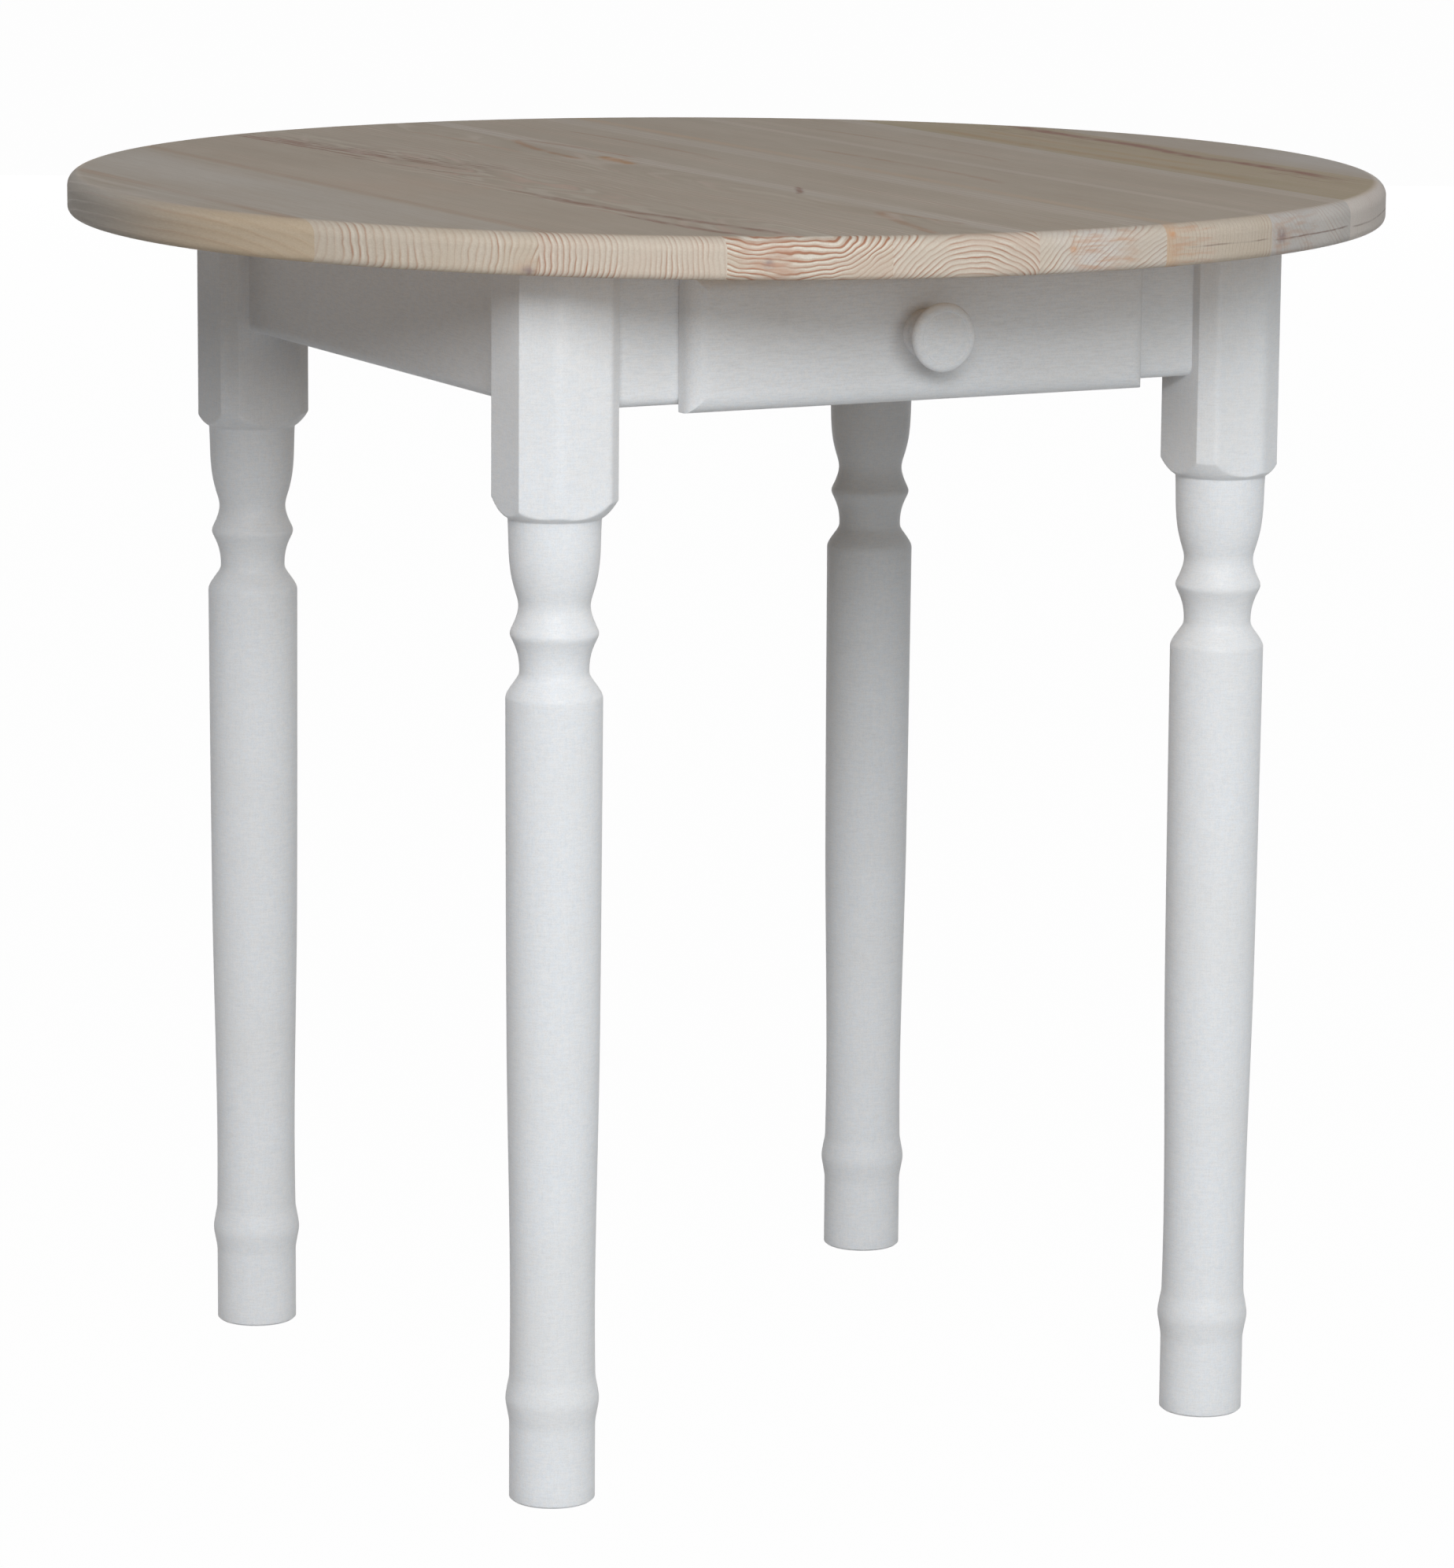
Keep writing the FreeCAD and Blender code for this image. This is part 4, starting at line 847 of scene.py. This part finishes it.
lay_screws("catch_pan_screw", pan_head, [(CATCH_PIVOT, BACKWARD)], {**PAN_HEAD, "Length": 14.0, "Plain": 8.0},
           zinc_plate, "catch_screw", "drawer")
lay_screws("knob_machine_screw", pan_head, [(KNOB_SEAT, FORWARD)], MACHINE_SCREW, zinc_plate,
           "knob_screw", "drawer")

# A hanger bolt has a machine thread for its nut at the inside and a wood thread in the leg.
hanger = screw_tree("hanger_bolts_with_two_threads", 3, 340, 24, recess=False)
bolt_start = APRON_INSIDE - (BRACE_OFFSET + BRACE_THICKNESS + BOLT_BEYOND_BRACE) * DIAGONAL
bolt_places = [((side_x * bolt_start, side_y * bolt_start, BRACE_MIDDLE),
                (side_x * DIAGONAL, side_y * DIAGONAL, 0.0)) for side_x, side_y in corners]
lay_screws("threaded_hanger_bolts", hanger, bolt_places, HANGER_BOLT, zinc_plate, "hanger_bolts", "table")


# ---- drawer ----
# A small box of bare pine with a plywood bottom, behind a painted front that overlaps the
# opening. The knob is turned, painted with the front and held by one screw from inside.

wear("drawer_front", white_paint("paint_on_drawer_front", "x"))
wear("knob", white_paint("paint_on_knob", "x"))
drawer_wood = bare_pine("bare_pine_drawer_sides", 5.5, "y", (-60.0, 655.0))
for node in ("drawer_side_left", "drawer_side_right"):
    wear(node, drawer_wood)
for node in ("drawer_box_front", "drawer_back"):
    wear(node, bare_pine("bare_pine_" + node, 8.8, "x", (0.0, 700.0)))
eased("drawer_catch", "catch", 0.5, bare_pine("bare_pine_catch", 9.9, "z", (0.0, 200.0)))


def birch_plywood(name, low, high):
    """Three plies of rotary-cut birch between two heights; the middle one shows darker at the edge."""
    material, shade, surface = finish(name, {"Specular IOR Level": 0.35})
    mm = shade.millimetres()
    x, y, z = mm.parts()
    flame = shade.noise(shade.vector(x / 46.0, y / 190.0, 4.0), detail=1.5) * 9.0
    line = abs(flame.part() - 0.5).step(0.16, 0.02)
    pores = shade.noise(shade.vector(x / 0.7, y / 9.0, z), detail=1.5)
    patch = shade.noise(mm, scale=1.0 / 60.0, detail=1.5).step(0.3, 0.7)
    colour = patch.blend(tone(228, 208, 174), tone(216, 192, 154))
    colour = (line * 0.30).blend(colour, tone(196, 162, 118))
    colour = ((pores - 0.55) * 1.1).most(0.0).blend(colour, tone(150, 112, 76))
    third = (high - low) / 3
    middle = z.step(low + third - 0.1, low + third) * z.step(high - third + 0.1, high - third)
    colour = middle.blend(colour, tone(168, 128, 88))
    put(material, surface, Base_Color=colour, Roughness=0.62 - line * 0.08,
        Normal=shade.relief(pores, 0.00006))
    return material


BOTTOM_FROM, BOTTOM_TO = 663.3, 667.3
wear("drawer_bottom", birch_plywood("birch_plywood", BOTTOM_FROM, BOTTOM_TO))


# ---- studio and camera ----
# A floor and a surround that the camera sees as near white, and four square soft lights: three
# in front at different heights and a low one behind.


def seen_directly(shade):
    """1 for the camera, mirrors and glass, 0 for light that bounces."""
    seen = shade.node("ShaderNodeLightPath", out="Is Camera Ray")
    return seen.most(seen.also("Is Glossy Ray")).most(seen.also("Is Transmission Ray"))


def lit_white(name, share):
    """Plain white stage paint that the camera, mirrors and glass see as near white, clear from below."""
    material, shade, surface = finish(name, {"Roughness": 0.9, "Specular IOR Level": 0.0,
                                             "Base Color": tone(198, 196, 194)})
    glow = shade.node("ShaderNodeEmission", None, {"Color": (1, 1, 1, 1), "Strength": 1.0})
    paint = Shade(shade.tree, surface.outputs[0])
    above = shade.node("ShaderNodeMixShader", None, {0: seen_directly(shade) * share, 1: paint, 2: glow})
    below = shade.node("ShaderNodeNewGeometry", out="Backfacing")
    clear = shade.node("ShaderNodeBsdfTransparent")
    mixed = shade.node("ShaderNodeMixShader", None, {0: below, 1: above, 2: clear})
    shade.tree.links.new(mixed.socket, shade.tree.nodes["Material Output"].inputs["Surface"])
    return material


FLOOR_HALF, FLOOR_HEIGHT, FLOOR_SHARE = 30.0, -0.0003, 0.985
floor_mesh = bpy.data.meshes.new("studio_floor")
floor_corners = [(x * FLOOR_HALF, y * FLOOR_HALF, FLOOR_HEIGHT)
                 for x, y in ((-1, -1), (1, -1), (1, 1), (-1, 1))]
floor_mesh.from_pydata(floor_corners, [], [(0, 1, 2, 3)])
floor_mesh.materials.append(lit_white("studio_floor_paint", FLOOR_SHARE))
floor = add_piece("studio_floor", floor_mesh)

world = bpy.data.worlds.new("studio_surround")
bpy.context.scene.world = world
world.use_nodes = True
sky = Shade(world.node_tree)
background = world.node_tree.nodes["Background"]
background.inputs["Color"].default_value = (1.0, 1.0, 1.0, 1.0)
world.node_tree.links.new(seen_directly(sky).socket, background.inputs["Strength"])

AIM = Vector((0.0, 0.0, 0.45))
LAMP_AWAY, LAMP_WIDTH = 8.0, 3.2


def soft_light(name, azimuth, height, watts, colour=(1.0, 1.0, 1.0)):
    """A square soft light; azimuth 0 is in front of the table and 90 on its left."""
    lamp = bpy.data.lights.new(name, "AREA")
    lamp.shape = "SQUARE"
    lamp.size = LAMP_WIDTH
    lamp.energy = watts
    lamp.color = colour
    piece = add_piece(name, lamp)
    turn, tilt = math.radians(azimuth), math.radians(height)
    away = Vector((-math.sin(turn) * math.cos(tilt), -math.cos(turn) * math.cos(tilt), math.sin(tilt)))
    piece.location = AIM + away * LAMP_AWAY
    piece.rotation_euler = (-away).to_track_quat("-Z", "Y").to_euler()
    return piece


soft_light("key_light", 27.0, 28.0, 356.0, (0.975, 0.99, 1.0))
soft_light("front_light", 0.0, 14.0, 130.0, (0.90, 0.97, 1.0))
soft_light("high_light", 27.0, 50.0, 90.0, (1.0, 0.97, 0.95))
soft_light("back_light", 207.0, 3.0, 170.0).visible_glossy = False

HEADING, DOWN, ROLL = math.radians(27.09), math.radians(10.615), math.radians(0.454)
camera_data = bpy.data.cameras.new("camera")
camera_data.sensor_fit = "HORIZONTAL"
camera_data.sensor_width = 36.0
camera_data.lens = 160.266
camera_data.clip_end = 60.0
camera = add_piece("camera", camera_data)
right = Vector((math.cos(HEADING), -math.sin(HEADING), 0.0))
ahead = Vector((math.sin(HEADING) * math.cos(DOWN), math.cos(HEADING) * math.cos(DOWN), -math.sin(DOWN)))
up = right.cross(ahead)
axis_x = right * math.cos(ROLL) + up * math.sin(ROLL)
axis_y = up * math.cos(ROLL) - right * math.sin(ROLL)
turn = ahead.to_track_quat("-Z", "Y").to_matrix()
for row in range(3):
    turn[row][0], turn[row][1], turn[row][2] = axis_x[row], axis_y[row], -ahead[row]
camera.rotation_euler = turn.to_euler()
camera.location = (-1.7940, -3.51412, 1.10933)
bpy.context.scene.camera = camera
bpy.context.scene.view_settings.view_transform = "Standard"
